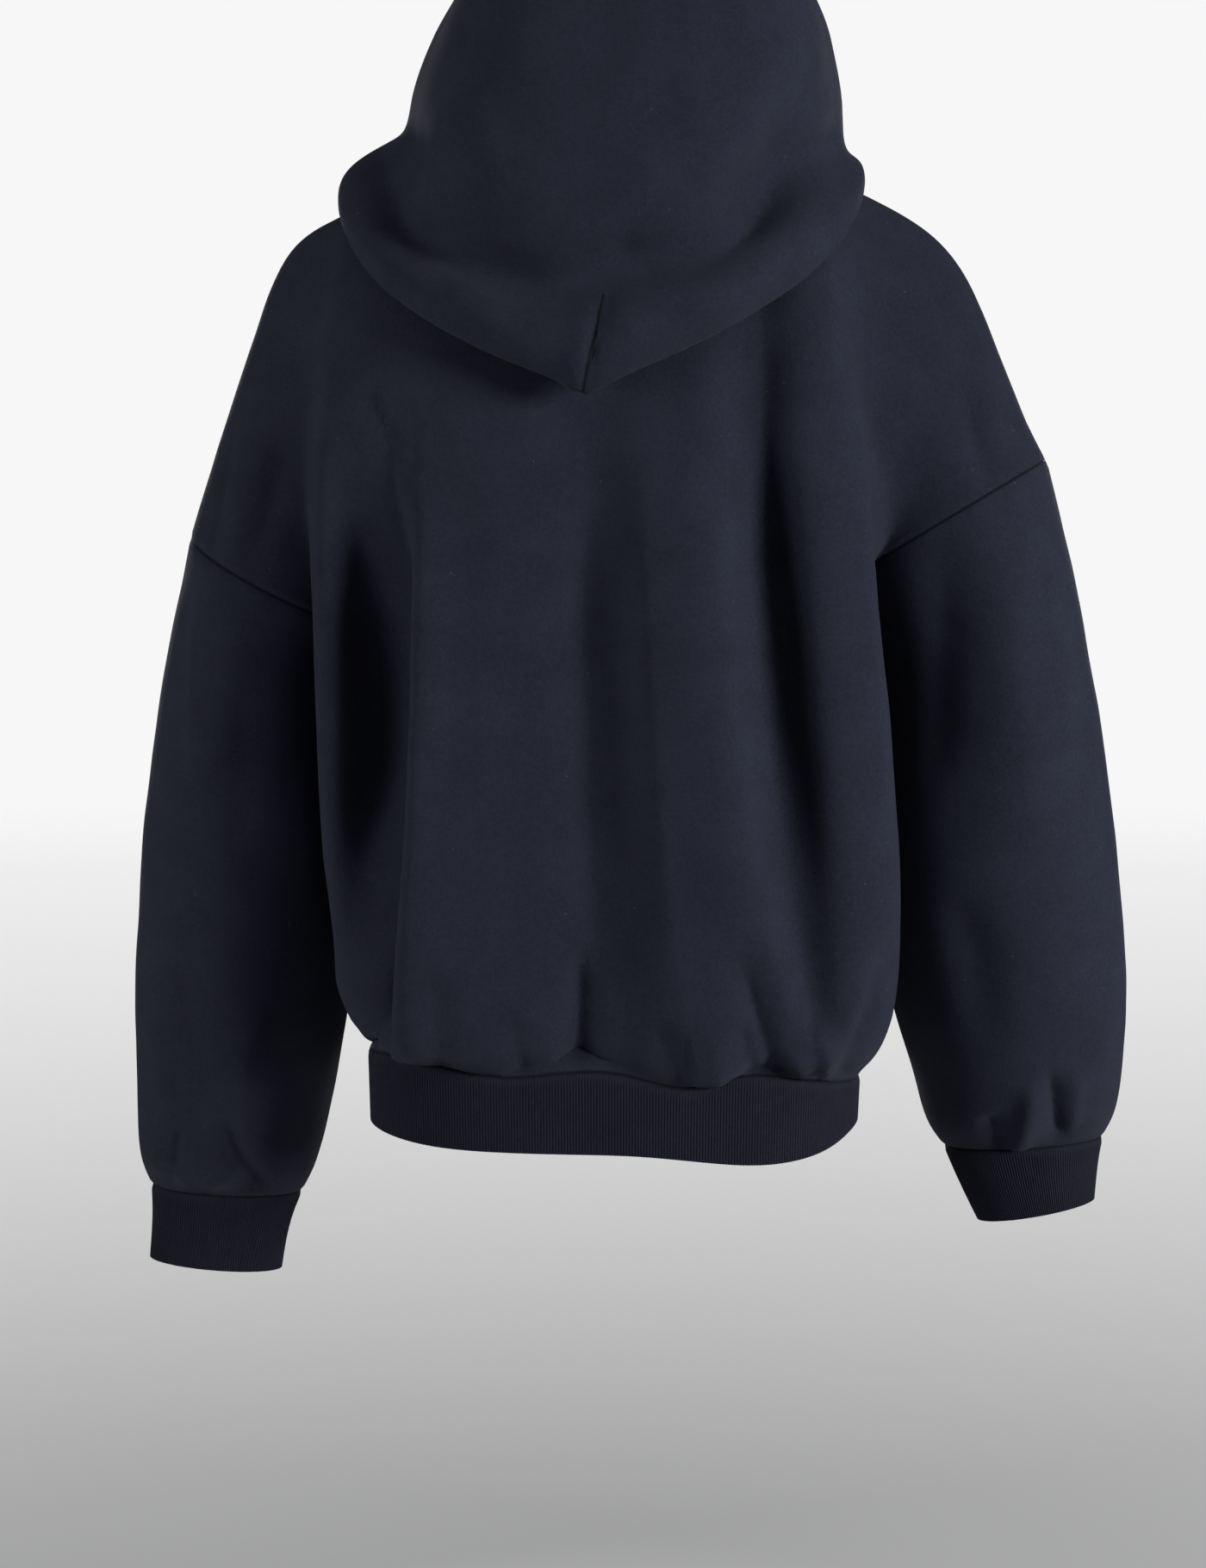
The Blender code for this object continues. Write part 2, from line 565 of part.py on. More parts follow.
def pull_to(grid, line, row, reach):
    # Moves a row of a grid onto a line and lets the points near it follow.
    away = np.linalg.norm(grid - grid[row][None], axis=2)
    grid = grid + ease(away, reach)[..., None] * (line - grid[row])[None]
    grid[row] = line
    return grid


# Sleeves and ribbing

def section(row, angles, side):
    # Points round one section of a sleeve or cuff.
    tilt = np.radians(row["tilt"])
    out = row["wide"] * np.cos(angles)
    return np.stack([
        side_sign(side) * (row["x"] + out * np.cos(tilt)),
        row["y"] + row["deep"] * np.sin(angles),
        row["z"] + out * np.sin(tilt),
    ], axis=1)


def sections(columns, angles, side):
    rows = [{name: values[i] for name, values in columns.items()} for i in range(len(columns["x"]))]
    return [section(row, angles, side) for row in rows]


def tube(net, cells):
    # A tube through a net of sections.
    knots = mean_lengths(net, 0)
    return np.einsum("ri,ijk->rjk", spline_weights(knots, places_between(knots, cells)), net)


def sleeve_surface(side, ring, angles):
    # The sleeve from its armhole ring to the cuff seam.
    start = np.array([armhole_point(side, a) for a in angles])
    grid = tube(np.array([start] + sections(SLEEVES[side], angles, side)), SLEEVE_CELLS)
    return pull_to(grid, ring, 0, 0.05)


def cuff_surface(side, top, angles):
    net = np.array([top] + sections(CUFFS[side], angles, side))
    knots = mean_lengths(net, 0)
    rows = spline_weights(knots, np.linspace(0, 1, RIB_BAND_CELLS + 1))
    return np.einsum("ri,ijk->rjk", rows, net)


def hem_rib_surface(top):
    # The hem rib, from its wavy seam to its lower edge.
    shares = (top[:, 0] - RIB_CENTRE_X) / RIB_TOP_WIDE
    end = top.copy()
    end[:, 0] = RIB_CENTRE_X + shares * RIB_END_WIDE
    end[:, 1] = top[:, 1] * RIB_END_DEEP
    end[:, 2] = spline_weights(HEM_END["x"], end[:, 0]) @ HEM_END["z"]
    steps = np.linspace(0, 1, RIB_BAND_CELLS + 1)[:, None, None]
    return top[None] * (1 - steps) + end[None] * steps


# Hood

def hood_net():
    # The net of the hood from the right face edge round the back to the left, from neck seam to crown.
    middle = HOOD_CENTRE
    rows = []
    for i in range(len(middle["x"])):
        half = {}
        for side in ("left", "right"):
            sign = side_sign(side)
            sizes = {name: values[i] for name, values in HOOD_SIDES[side].items()}
            face = np.array([sign * middle["face_x"][i], middle["face_y"][i], middle["face_z"][i]])
            edge = np.array([sign * sizes["side_x"], sizes["side_y"], sizes["side_z"]])
            quarter = np.array([sign * sizes["quarter_x"], sizes["quarter_y"], sizes["quarter_z"]])
            bulge = CHEEK_BULGE * abs(edge[0] - face[0]) / 0.1
            cheek = (face + edge) / 2 + np.array([sign * bulge, -0.6 * bulge, SHOULDER_LIFT[i] / 2])
            shoulder = (9 * (edge + cheek) - quarter - face) / 16 + np.array([0, 0, SHOULDER_LIFT[i]])
            half[side] = [quarter, edge, shoulder, cheek, face]
        centre = np.array([middle["x"][i], middle["y"][i], middle["z"][i]])
        rows.append(half["right"][::-1] + [centre] + half["left"])
    return np.array(rows)


def hood_surface(neck):
    net = hood_net()
    middle = len(HOOD_LINE_CELLS)
    over_crown = net[-2, ::-1].copy()
    over_crown[middle] = 2 * net[-1, middle] - net[-2, middle]
    grid = net_surface(net, HOOD_CELLS, HOOD_LINE_CELLS + HOOD_LINE_CELLS[::-1], dict(row_after=over_crown))
    rows = np.repeat(np.arange(len(HOOD_CELLS)), HOOD_CELLS) + np.concatenate(
        [np.arange(n) / n for n in HOOD_CELLS])
    near_edge = np.exp(-((np.append(rows, len(HOOD_CELLS)) - ROLL_ROW) / 1.2) ** 2)
    away = np.abs(grid[..., 0] - HOOD_CENTRE["x"][ROLL_ROW]) / DART_REACH
    behind = np.clip(grid[..., 1] / 0.1, 0, 1)
    grid[..., 2] -= DART_DROP * near_edge[:, None] * np.exp(-away) * behind
    grid = pull_to(grid, neck, 0, 0.04)
    crown = (grid[-1] + grid[-1, ::-1]) / 2
    crown[:, 0] = 0
    return pull_to(grid, crown, -1, 0.03)


# Seams

def edge_ends(piece):
    # For each point on the edge of a piece: its row and column, its place, its normal, the angle that the
    # piece fills there, and the direction into the piece.
    grid = piece["grid"]
    rows, columns = grid.shape[:2]
    ends = []
    for i in range(rows):
        for j in range(columns):
            on_row = i in (0, rows - 1)
            on_column = not piece["around"] and j in (0, columns - 1)
            if not on_row and not on_column:
                continue
            inner_row = grid[1 if i == 0 else rows - 2, j] - grid[i, j]
            inner_column = grid[i, 1 if j == 0 else columns - 2] - grid[i, j]
            if on_row and on_column:
                beside, way = (inner_row, inner_column), unit(inner_row) + unit(inner_column)
            elif on_row:
                after = grid[i, (j + 1) % columns]
                beside, way = (grid[i, j - 1] - grid[i, j], after - grid[i, j]), unit(inner_row)
            else:
                beside, way = (grid[i - 1, j] - grid[i, j], grid[i + 1, j] - grid[i, j]), unit(inner_column)
            angle = np.arccos(np.clip(unit(beside[0]) @ unit(beside[1]), -1, 1))
            ends.append(dict(at=(i, j), spot=grid[i, j].copy(), normal=piece["normals"][i, j], angle=angle,
                             way=unit(way)))
    return ends


def sew(pieces):
    # Where edge points of pieces meet, gives them one normal and moves them a seam gap apart.
    ends = [dict(end, piece=piece) for piece in pieces.values() for end in edge_ends(piece)]
    spots = np.array([end["spot"] for end in ends])
    seams = []
    used = set()
    for k, spot in enumerate(spots):
        near = np.flatnonzero(np.linalg.norm(spots - spot, axis=1) < 1e-6)
        if len(near) > 1 and k not in used:
            used.update(near.tolist())
            seams.append([ends[n] for n in near])
    seam_spots = np.array([meeting[0]["spot"] for meeting in seams])
    normals = np.array([sum(end["normal"] * end["angle"] for end in meeting) for meeting in seams])
    away = np.linalg.norm(seam_spots[:, None] - seam_spots, axis=2)
    normals = unit(np.exp(-(away / SEAM_SMOOTH) ** 2) @ normals)
    for meeting, spot, shared in zip(seams, seam_spots, normals):
        moves = part_ways([end["way"] for end in meeting], shared)
        for end, move in zip(meeting, moves):
            end["piece"]["grid"][end["at"]] += move
            end["piece"]["seam"].append((spot, shared))
    for piece in pieces.values():
        turn_normals(piece)


def part_ways(ways, shared):
    # The smallest moves that leave a seam gap between each two pieces that meet.
    lines = []
    for p in range(len(ways)):
        for q in range(p + 1, len(ways)):
            apart = ways[p] - ways[q]
            apart = unit(apart - shared * (apart @ shared))
            line = np.zeros((len(ways), 3))
            line[p], line[q] = apart, -apart
            lines.append(line.ravel())
    gaps = np.full(len(lines), SEAM_GAP)
    return np.linalg.lstsq(np.array(lines), gaps, rcond=1e-6)[0].reshape(-1, 3)


def turn_normals(piece):
    # Turns the normals near a seam to the ones shared there.
    spots = np.array([spot for spot, _ in piece["seam"]])
    shared = np.array([normal for _, normal in piece["seam"]])
    away = np.linalg.norm(piece["grid"][:, :, None] - spots, axis=3)
    weight = ease(away.min(axis=2), SEAM_TURN)[..., None]
    piece["normals"] = unit(piece["normals"] * (1 - weight) + shared[away.argmin(axis=2)] * weight)


# Solids

def wall_faces(outer, inner, around):
    # The faces of a closed wall between an outer and an inner grid of points. The outer grid may have
    # several columns for each inner one.
    rows, wide = outer.shape[:2]
    inner_wide = inner.shape[1]
    start = rows * wide
    ratio = wide // inner_wide if around else 1

    def outside(row, column):
        return row * wide + column % wide

    def inside(row, column):
        return start + row * inner_wide + column % inner_wide

    faces = []
    rims = []
    for row in range(rows - 1):
        for column in range(wide if around else wide - 1):
            faces.append([outside(row, column), outside(row, column + 1),
                          outside(row + 1, column + 1), outside(row + 1, column)])
        for column in range(inner_wide if around else inner_wide - 1):
            faces.append([inside(row, column), inside(row + 1, column),
                          inside(row + 1, column + 1), inside(row, column + 1)])
    for column in range(inner_wide if around else inner_wide - 1):
        for row in (0, rows - 1):
            rim = [outside(row, column * ratio + k) for k in range(ratio + 1)]
            rim += [inside(row, column + 1), inside(row, column)]
            rims.append(rim[::-1] if row == 0 else rim)
    if not around:
        for row in range(rows - 1):
            for column in (0, wide - 1):
                rim = [outside(row, column), inside(row, column),
                       inside(row + 1, column), outside(row + 1, column)]
                rims.append(rim[::-1] if column == 0 else rim)
    along = outer.reshape(-1, 3) @ np.array(RIM_SLANT)
    for rim in rims:
        faces += split_rim(rim, along)
    return faces


def split_rim(rim, along):
    # Splits a cell of a rim from its outer corner that comes first along the slanted direction, so that
    # the two pieces at a seam split alike.
    if len(rim) > 4:
        return [rim]
    first = min((k for k in range(4) if rim[k] < len(along)), key=lambda k: along[rim[k]])
    turned = rim[first:] + rim[:first]
    return [turned[:3], [turned[0], turned[2], turned[3]]]


def ribbed(grid, normals):
    # Outer points with ribs: each column is split, and every second new column stands out.
    fine_grid = []
    for k in range(RIB_COLUMNS):
        share = k / RIB_COLUMNS
        normal = unit(normals * (1 - share) + np.roll(normals, -1, axis=1) * share)
        fine_grid.append(grid * (1 - share) + np.roll(grid, -1, axis=1) * share + normal * RIB_HIGH * (k % 2))
    rows, columns = grid.shape[:2]
    return np.stack(fine_grid, axis=2).reshape(rows, columns * RIB_COLUMNS, 3)


def add_wall(name, piece, material, ribs=False):
    # The solid of one piece: its middle surface with half a wall on each side.
    outer = piece["grid"] + piece["normals"] * WALL / 2
    inner = piece["grid"] - piece["normals"] * WALL / 2
    if ribs:
        outer = ribbed(outer, piece["normals"])
    faces = wall_faces(outer, inner, piece["around"])
    if piece["flipped"]:
        faces = [face[::-1] for face in faces]
    mesh = bpy.data.meshes.new(name)
    mesh.from_pydata(np.concatenate([outer.reshape(-1, 3), inner.reshape(-1, 3)]).tolist(), [], faces)
    mesh.materials.append(material)
    mesh.shade_smooth()
    mesh.set_sharp_from_angle(angle=np.radians(50))
    bpy.context.scene.collection.objects.link(bpy.data.objects.new(name, mesh))


def new_piece(grid, around, flipped):
    # A piece's middle surface. flipped says that its rows and columns turn the other way round.
    normals = normals_of(grid, around) * (-1 if flipped else 1)
    return dict(grid=grid, around=around, flipped=flipped, normals=normals, seam=[])


def cloth_material(name, colour, roughness):
    material = bpy.data.materials.new(name)
    material.use_nodes = True
    shader = material.node_tree.nodes["Principled BSDF"]
    shader.inputs["Base Color"].default_value = (*colour, 1)
    shader.inputs["Roughness"].default_value = roughness
    shader.inputs["Metallic"].default_value = 0
    return material


def main():
    for old in list(bpy.data.objects):
        bpy.data.objects.remove(old)
    knit = cloth_material("navy_black_knit", (0.012, 0.013, 0.021), 0.72)
    rib = cloth_material("navy_black_rib", (0.011, 0.012, 0.017), 0.8)

    back = body_panel("back", BACK_FOLDS)
    front = body_panel("front", FRONT_FOLDS)
    pieces = {"back": new_piece(back, False, False), "front": new_piece(front, False, True)}
    beside = sum(ARMHOLE_CELLS)
    for side, column in (("left", -1), ("right", 0)):
        ring = np.concatenate([back[:beside + 1, column], front[beside - 1:0:-1, column]])
        places = armhole_places()
        angles = np.concatenate([
            armhole_angles(side, "back", places), armhole_angles(side, "front", places)[beside - 1:0:-1],
        ])
        sleeve = sleeve_surface(side, ring, angles)
        flipped = side == "left"
        pieces["sleeve_" + side] = new_piece(sleeve, True, flipped)
        pieces["cuff_" + side] = new_piece(cuff_surface(side, sleeve[-1], angles), True, flipped)
    hem = hem_rib_surface(np.concatenate([back[-1], front[-1, -2:0:-1]]))
    pieces["hem_rib"] = new_piece(hem, True, False)
    shoulder = sum(LINE_CELLS[:-1])
    middle = sum(LINE_CELLS)
    neck = np.concatenate([
        front[0, middle:shoulder:-1], back[0, shoulder:-shoulder], front[0, -shoulder - 2:middle - 1:-1],
    ])
    pieces["hood"] = new_piece(hood_surface(neck), False, True)
    sew(pieces)
    for name, piece in pieces.items():
        ribs = name.startswith("cuff") or name == "hem_rib"
        add_wall(name, piece, rib if ribs else knit, ribs)


main()
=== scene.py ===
import bmesh
import bpy
import numpy as np
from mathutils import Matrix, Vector, noise


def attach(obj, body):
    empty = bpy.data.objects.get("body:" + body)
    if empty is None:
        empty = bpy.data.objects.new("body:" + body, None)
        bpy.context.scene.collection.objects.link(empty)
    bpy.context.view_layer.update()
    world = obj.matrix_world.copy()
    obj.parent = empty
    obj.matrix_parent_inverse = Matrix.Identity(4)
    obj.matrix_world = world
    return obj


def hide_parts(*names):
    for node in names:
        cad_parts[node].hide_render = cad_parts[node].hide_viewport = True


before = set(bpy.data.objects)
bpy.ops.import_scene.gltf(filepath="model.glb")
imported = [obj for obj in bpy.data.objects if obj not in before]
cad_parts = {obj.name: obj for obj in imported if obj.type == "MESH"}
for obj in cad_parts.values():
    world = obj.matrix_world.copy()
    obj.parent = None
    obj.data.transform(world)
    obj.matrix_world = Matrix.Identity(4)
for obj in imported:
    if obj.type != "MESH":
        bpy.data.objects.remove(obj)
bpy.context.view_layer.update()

# A pullover hoodie as it is worn, cut in eight pieces. Metres, +Z up, the back towards +Y and the
# wearer's left at +X. Every piece starts as a net of points that a smooth surface runs through.

cloth = {
    "wall": 0.0022,           # thickness of the fabric
    "seamGap": 0.0003,        # left between two pieces at their seam
    "seamTurn": 0.012,        # reach over which a piece turns to the seam's own direction
    "seamSmooth": 0.012,      # reach over which the shared directions are evened out
    "sameSpot": 1e-6,         # edge points this near to each other are sewn together
    "creaseFade": 0.005,      # creases die away this near to a seam
    "rollFrom": 0.0042,       # the outside rounds down into a seam from this far
    "rollDepth": 0.0009,
    "crumple": 0.0011,        # slow unevenness of the cloth between its creases
    "crumpleSize": 0.075,
    "crumpleFine": (2.7, 0.35),    # a finer unevenness: how much finer and how much lower
    "creaseSteps": 20,        # short straights in each crease line
    "creaseEnd": 0.35,        # share of a crease over which it dies away to its head and its tail
    "facing": (-0.1, 0.4),    # how far the cloth faces a view where creases start to show, and show fully
    "sharpAngle": 60,
}


def table(columns, *rows):
    # A table with a name for each column, as a dictionary of arrays.
    return dict(zip(columns.split(), np.array(rows, float).T))


def splineWeights(knots, places):
    # The matrix that reads a natural cubic spline through values at knots, at the given places.
    knots = np.asarray(knots, float)
    steps = np.diff(knots)
    count = len(knots)
    system = np.eye(count)
    right = np.zeros((count, count))
    for i in range(1, count - 1):
        system[i, i - 1:i + 2] = steps[i - 1], 2 * (steps[i - 1] + steps[i]), steps[i]
        right[i, i - 1:i + 2] = 6 / steps[i - 1], -6 / steps[i - 1] - 6 / steps[i], 6 / steps[i]
    bends = np.linalg.solve(system, right)
    weights = []
    for place in np.atleast_1d(places):
        i = int(np.clip(np.searchsorted(knots, place, side="right") - 1, 0, count - 2))
        step = steps[i]
        after = (place - knots[i]) / step
        before = 1 - after
        row = ((before ** 3 - before) * bends[i] + (after ** 3 - after) * bends[i + 1]) * step ** 2 / 6
        row[i] += before
        row[i + 1] += after
        weights.append(row)
    return np.array(weights)


def lengthsAlong(points):
    # The share of a line's length at each of its points, from 0 to 1.
    steps = np.linalg.norm(np.diff(points, axis=0), axis=1)
    return np.concatenate([[0], np.cumsum(steps)]) / steps.sum()


def smoothLine(points, places):
    points = np.asarray(points, float)
    return splineWeights(lengthsAlong(points), places) @ points


def meanLengths(net, axis):
    # Knots for one direction of a net of points, from its mean spacing.
    steps = np.linalg.norm(np.diff(net, axis=axis), axis=2).mean(axis=1 - axis)
    return np.concatenate([[0], np.cumsum(steps)]) / steps.sum()


def placesBetween(knots, cells):
    # Places from knot to knot, with the given number of even cells in each interval.
    runs = [np.linspace(a, b, n, endpoint=False) for a, b, n in zip(knots, knots[1:], cells)]
    return np.concatenate(runs + [knots[-1:]])


def netSurface(net, rowCells, columnCells, ghosts):
    # A smooth surface through a net of points, with the given cells between its rows and its columns.
    # ghosts are the net's neighbours in the pieces that it runs on into: rowBefore, rowAfter,
    # columnBefore and columnAfter, where it has them.
    rowKnots = meanLengths(net, 0)
    columnKnots = meanLengths(net, 1)
    down = placesBetween(rowKnots, rowCells)
    across = placesBetween(columnKnots, columnCells)
    if "columnBefore" in ghosts:
        net = np.concatenate([ghosts["columnBefore"][:, None], net, ghosts["columnAfter"][:, None]], axis=1)
        columnKnots = np.concatenate([[-columnKnots[1]], columnKnots, [2 - columnKnots[-2]]])
    if "rowBefore" in ghosts:
        net = np.concatenate([fitGhost(ghosts["rowBefore"], net, 0)[None], net])
        rowKnots = np.concatenate([[-rowKnots[1]], rowKnots])
    if "rowAfter" in ghosts:
        net = np.concatenate([net, fitGhost(ghosts["rowAfter"], net, -1)[None]])
        rowKnots = np.concatenate([rowKnots, [2 - rowKnots[-2]]])
    rows = splineWeights(rowKnots, down)
    columns = splineWeights(columnKnots, across)
    return np.einsum("ri,ijk,cj->rck", rows, net, columns)


def fitGhost(ghost, net, row):
    # A ghost row as wide as the net. The net may have gained a column at each side.
    if len(ghost) == net.shape[1]:
        return ghost
    nextRow = 1 if row == 0 else -2
    ends = 2 * net[row] - net[nextRow]
    return np.concatenate([ends[:1], ghost, ends[-1:]])


def ease(distance, reach):
    # Falls smoothly from 1 at a seam to 0 at the given reach from it.
    share = np.clip(distance / reach, 0, 1)
    return (1 - share) ** 2 * (1 + 2 * share)


def unit(vectors):
    return vectors / np.linalg.norm(vectors, axis=-1, keepdims=True)


def normalsOf(grid, around=False):
    # Normals of a grid of points, from the cells beside each point. Rows run down and columns to the
    # left, seen from the side that the normals point to.
    if around:
        grid = np.concatenate([grid, grid[:, :1]], axis=1)
    cells = np.cross(grid[:-1, 1:] - grid[1:, :-1], grid[1:, 1:] - grid[:-1, :-1])
    sums = np.zeros_like(grid)
    for rows in (slice(None, -1), slice(1, None)):
        for columns in (slice(None, -1), slice(1, None)):
            sums[rows, columns] += cells
    if around:
        sums[:, 0] += sums[:, -1]
        sums = sums[:, :-1]
    return unit(sums)


# Back and front. Cells are the mesh cells between two lines of the net.
body = {
    "lineCells": (18, 18, 12, 6, 18, 48),    # edge, arm, dip, fold, turn, blade and centre lines
    "armholeCells": (24, 18, 18, 12),        # from the shoulder seam down the armhole
    "sideCells": (12, 12, 12, 12, 6, 6),     # down the side seam
    "bladeShares": (0.62, 0.03, 0.30),    # of the fold's x, and from centre line to fold in y and z
    "turnShares": (0.89, 0.42, 0.70),
    "dipDropShare": 0.32,     # from the fold's level to the edge's
    "armDropShare": 0.68,
    "armpitLevel": 3,         # the level under the arm, where dip and arm hang lower than the seam's end
    "armpitDrop": 0.016,
    "foldEnds": 0.7,          # a low power lets the large folds start and end quickly
    "pull": {"top": 0.09, "bottom": 0.05, "side": 0.07},    # reach over which a panel follows its edges
    "flat": {"back": (0.66, 0.70, 0.402), "front": (0.66, 0.66, 0.366)},    # the cut: width, length, area
}

# Centre lines of the back and the front, a row for each level from the neck seam to the hem rib
centreLines = table(
    "backY  backZ  frontY  frontZ",
    (0.070, 0.000, -0.098, -0.085),     # neck seam
    (0.106, -0.072, -0.114, -0.125),    # shoulder blades
    (0.127, -0.142, -0.130, -0.175),
    (0.134, -0.217, -0.141, -0.232),
    (0.137, -0.292, -0.148, -0.294),    # under the arms
    (0.139, -0.368, -0.153, -0.370),
    (0.141, -0.450, -0.155, -0.452),
    (0.140, -0.528, -0.152, -0.528),
    (0.137, -0.566, -0.148, -0.566),    # the body blouses over the rib
    (0.130, -0.587, -0.140, -0.587),
)

# Each quarter of the body, a row for each level below the shoulder seam. fold is the outermost fold of
# the body, dip the hollow between body and arm, and arm the cloth that lies over the upper arm.
quarters = {
    "leftBack": table(
        "foldX  foldY  foldZ  dipX  dipY  armX  armY",
        (0.2015, 0.061, -0.077, 0.2230, 0.050, 0.262, 0.045),
        (0.2068, 0.078, -0.170, 0.2140, 0.058, 0.229, 0.058),
        (0.2060, 0.080, -0.261, 0.2040, 0.060, 0.198, 0.047),
        (0.2035, 0.080, -0.326, 0.1950, 0.052, 0.1745, 0.012),
        (0.2015, 0.080, -0.382, 0.1900, 0.050, 0.163, 0.012),
        (0.1980, 0.080, -0.455, 0.1940, 0.050, 0.176, 0.012),
        (0.1930, 0.078, -0.528, 0.1920, 0.048, 0.182, 0.012),
        (0.1880, 0.072, -0.562, 0.1900, 0.044, 0.187, 0.012),
        (0.1760, 0.064, -0.584, 0.1790, 0.038, 0.179, 0.010),
    ),
    "rightBack": table(
        "foldX  foldY  foldZ  dipX  dipY  armX  armY",
        (0.1520, 0.078, -0.075, 0.1800, 0.062, 0.240, 0.050),
        (0.1585, 0.088, -0.160, 0.1760, 0.062, 0.204, 0.050),
        (0.1685, 0.090, -0.237, 0.1750, 0.060, 0.180, 0.038),
        (0.1770, 0.087, -0.298, 0.1720, 0.052, 0.162, 0.012),
        (0.1855, 0.084, -0.372, 0.1760, 0.050, 0.152, 0.012),
        (0.1905, 0.082, -0.452, 0.1880, 0.050, 0.172, 0.012),
        (0.1915, 0.078, -0.530, 0.1910, 0.048, 0.180, 0.012),
        (0.1860, 0.072, -0.570, 0.1870, 0.044, 0.183, 0.012),
        (0.1740, 0.064, -0.596, 0.1770, 0.038, 0.176, 0.010),
    ),
    "leftFront": table(
        "foldX  foldY  foldZ  dipX  dipY  armX  armY",
        (0.1800, -0.074, -0.075, 0.2120, -0.070, 0.257, -0.090),
        (0.1960, -0.112, -0.168, 0.2110, -0.099, 0.229, -0.109),
        (0.1995, -0.121, -0.262, 0.2035, -0.114, 0.198, -0.103),
        (0.2000, -0.119, -0.324, 0.1890, -0.094, 0.1705, -0.061),
        (0.1990, -0.116, -0.382, 0.1860, -0.088, 0.162, -0.057),
        (0.1970, -0.112, -0.455, 0.1930, -0.082, 0.176, -0.055),
        (0.1940, -0.109, -0.528, 0.1920, -0.078, 0.181, -0.052),
        (0.1880, -0.102, -0.563, 0.1900, -0.070, 0.187, -0.044),
        (0.1760, -0.092, -0.585, 0.1790, -0.062, 0.179, -0.038),
    ),
    "rightFront": table(
        "foldX  foldY  foldZ  dipX  dipY  armX  armY",
        (0.1700, -0.075, -0.072, 0.2000, -0.070, 0.247, -0.083),
        (0.1790, -0.110, -0.156, 0.1920, -0.095, 0.209, -0.101),
        (0.1840, -0.119, -0.236, 0.1905, -0.111, 0.188, -0.100),
        (0.1875, -0.118, -0.296, 0.1770, -0.092, 0.1600, -0.059),
        (0.1900, -0.116, -0.372, 0.1770, -0.087, 0.151, -0.055),
        (0.1930, -0.112, -0.452, 0.1890, -0.082, 0.172, -0.055),
        (0.1940, -0.109, -0.530, 0.1920, -0.078, 0.180, -0.052),
        (0.1860, -0.102, -0.570, 0.1870, -0.070, 0.183, -0.044),
        (0.1740, -0.092, -0.595, 0.1770, -0.062, 0.176, -0.038),
    ),
}
# Shares of the shoulder seam where the lines blade, turn, fold, dip, arm and edge start
lineStarts = {"left": (0, 0.16, 0.31, 0.50, 0.75, 1), "right": (0, 0.10, 0.20, 0.36, 0.68, 1)}

# The shoulder seam, over the shoulder and down the upper arm to the top of the sleeve
shoulderSeams = {
    "left": table(
        "x  y  z",
        (0.100, -0.004, 0.022),
        (0.150, -0.010, 0.012),
        (0.2000, -0.015, -0.004),
        (0.2260, -0.018, -0.018),
        (0.2440, -0.020, -0.040),
        (0.2600, -0.022, -0.078),
        (0.2740, -0.024, -0.122),
        (0.2915, -0.026, -0.177),
        (0.3080, -0.028, -0.2275),
    ),
    "right": table(
        "x  y  z",
        (0.100, -0.004, 0.026),
        (0.1400, -0.006, 0.023),
        (0.1740, -0.008, 0.011),
        (0.2050, -0.008, -0.005),
        (0.2250, -0.008, -0.020),
        (0.2420, -0.008, -0.040),
        (0.2650, -0.006, -0.092),
        (0.2820, -0.004, -0.135),
        (0.3000, -0.003, -0.175),
    ),
}

# The armhole seams, as ellipses from the top of the sleeve to under the arm. start is the angle where
# the shoulder seam meets it, towards the back, and sag the drop of its back half.
armholes = {
    "left": dict(
        topX=0.3090, topZ=-0.2275, underX=0.172, underZ=-0.297, y=-0.028, deep=0.090, start=0, sag=0.011,
    ),
    "right": dict(
        topX=0.3060, topZ=-0.1750, underX=0.160, underZ=-0.262, y=-0.028, deep=0.082, start=18, sag=0,
    ),
}

# The side seams below the arms, at the levels of the rows above
sideSeams = {
    "left": table(
        "x  y  z",
        (0.1470, -0.024, -0.374), (0.1550, -0.022, -0.452), (0.1720, -0.020, -0.528),
        (0.1840, -0.017, -0.563), (0.1790, -0.014, -0.585),
    ),
    "right": table(
        "x  y  z",
        (0.1360, -0.024, -0.366), (0.1470, -0.022, -0.452), (0.1700, -0.020, -0.530),
        (0.1810, -0.017, -0.570), (0.1760, -0.014, -0.596),
    ),
}

# The hem rib's seam rises and falls with the gathers of the back and the front
hemSeam = table(
    "x  z",
    (-0.180, -0.612), (-0.140, -0.606), (-0.110, -0.600), (-0.086, -0.599), (-0.054, -0.606),
    (-0.016, -0.599), (0.026, -0.596), (0.070, -0.600), (0.110, -0.595), (0.150, -0.590), (0.180, -0.594),
)

# Its lower edge, which is pulled up at both sides and hangs lowest right of the middle
hemEnd = table(
    "x  z",
    (-0.180, -0.639), (-0.166, -0.643), (-0.150, -0.651), (-0.126, -0.658), (-0.098, -0.660),
    (-0.060, -0.657), (-0.020, -0.653), (0.030, -0.6515), (0.080, -0.651), (0.118, -0.650),
    (0.150, -0.647), (0.180, -0.642),
)

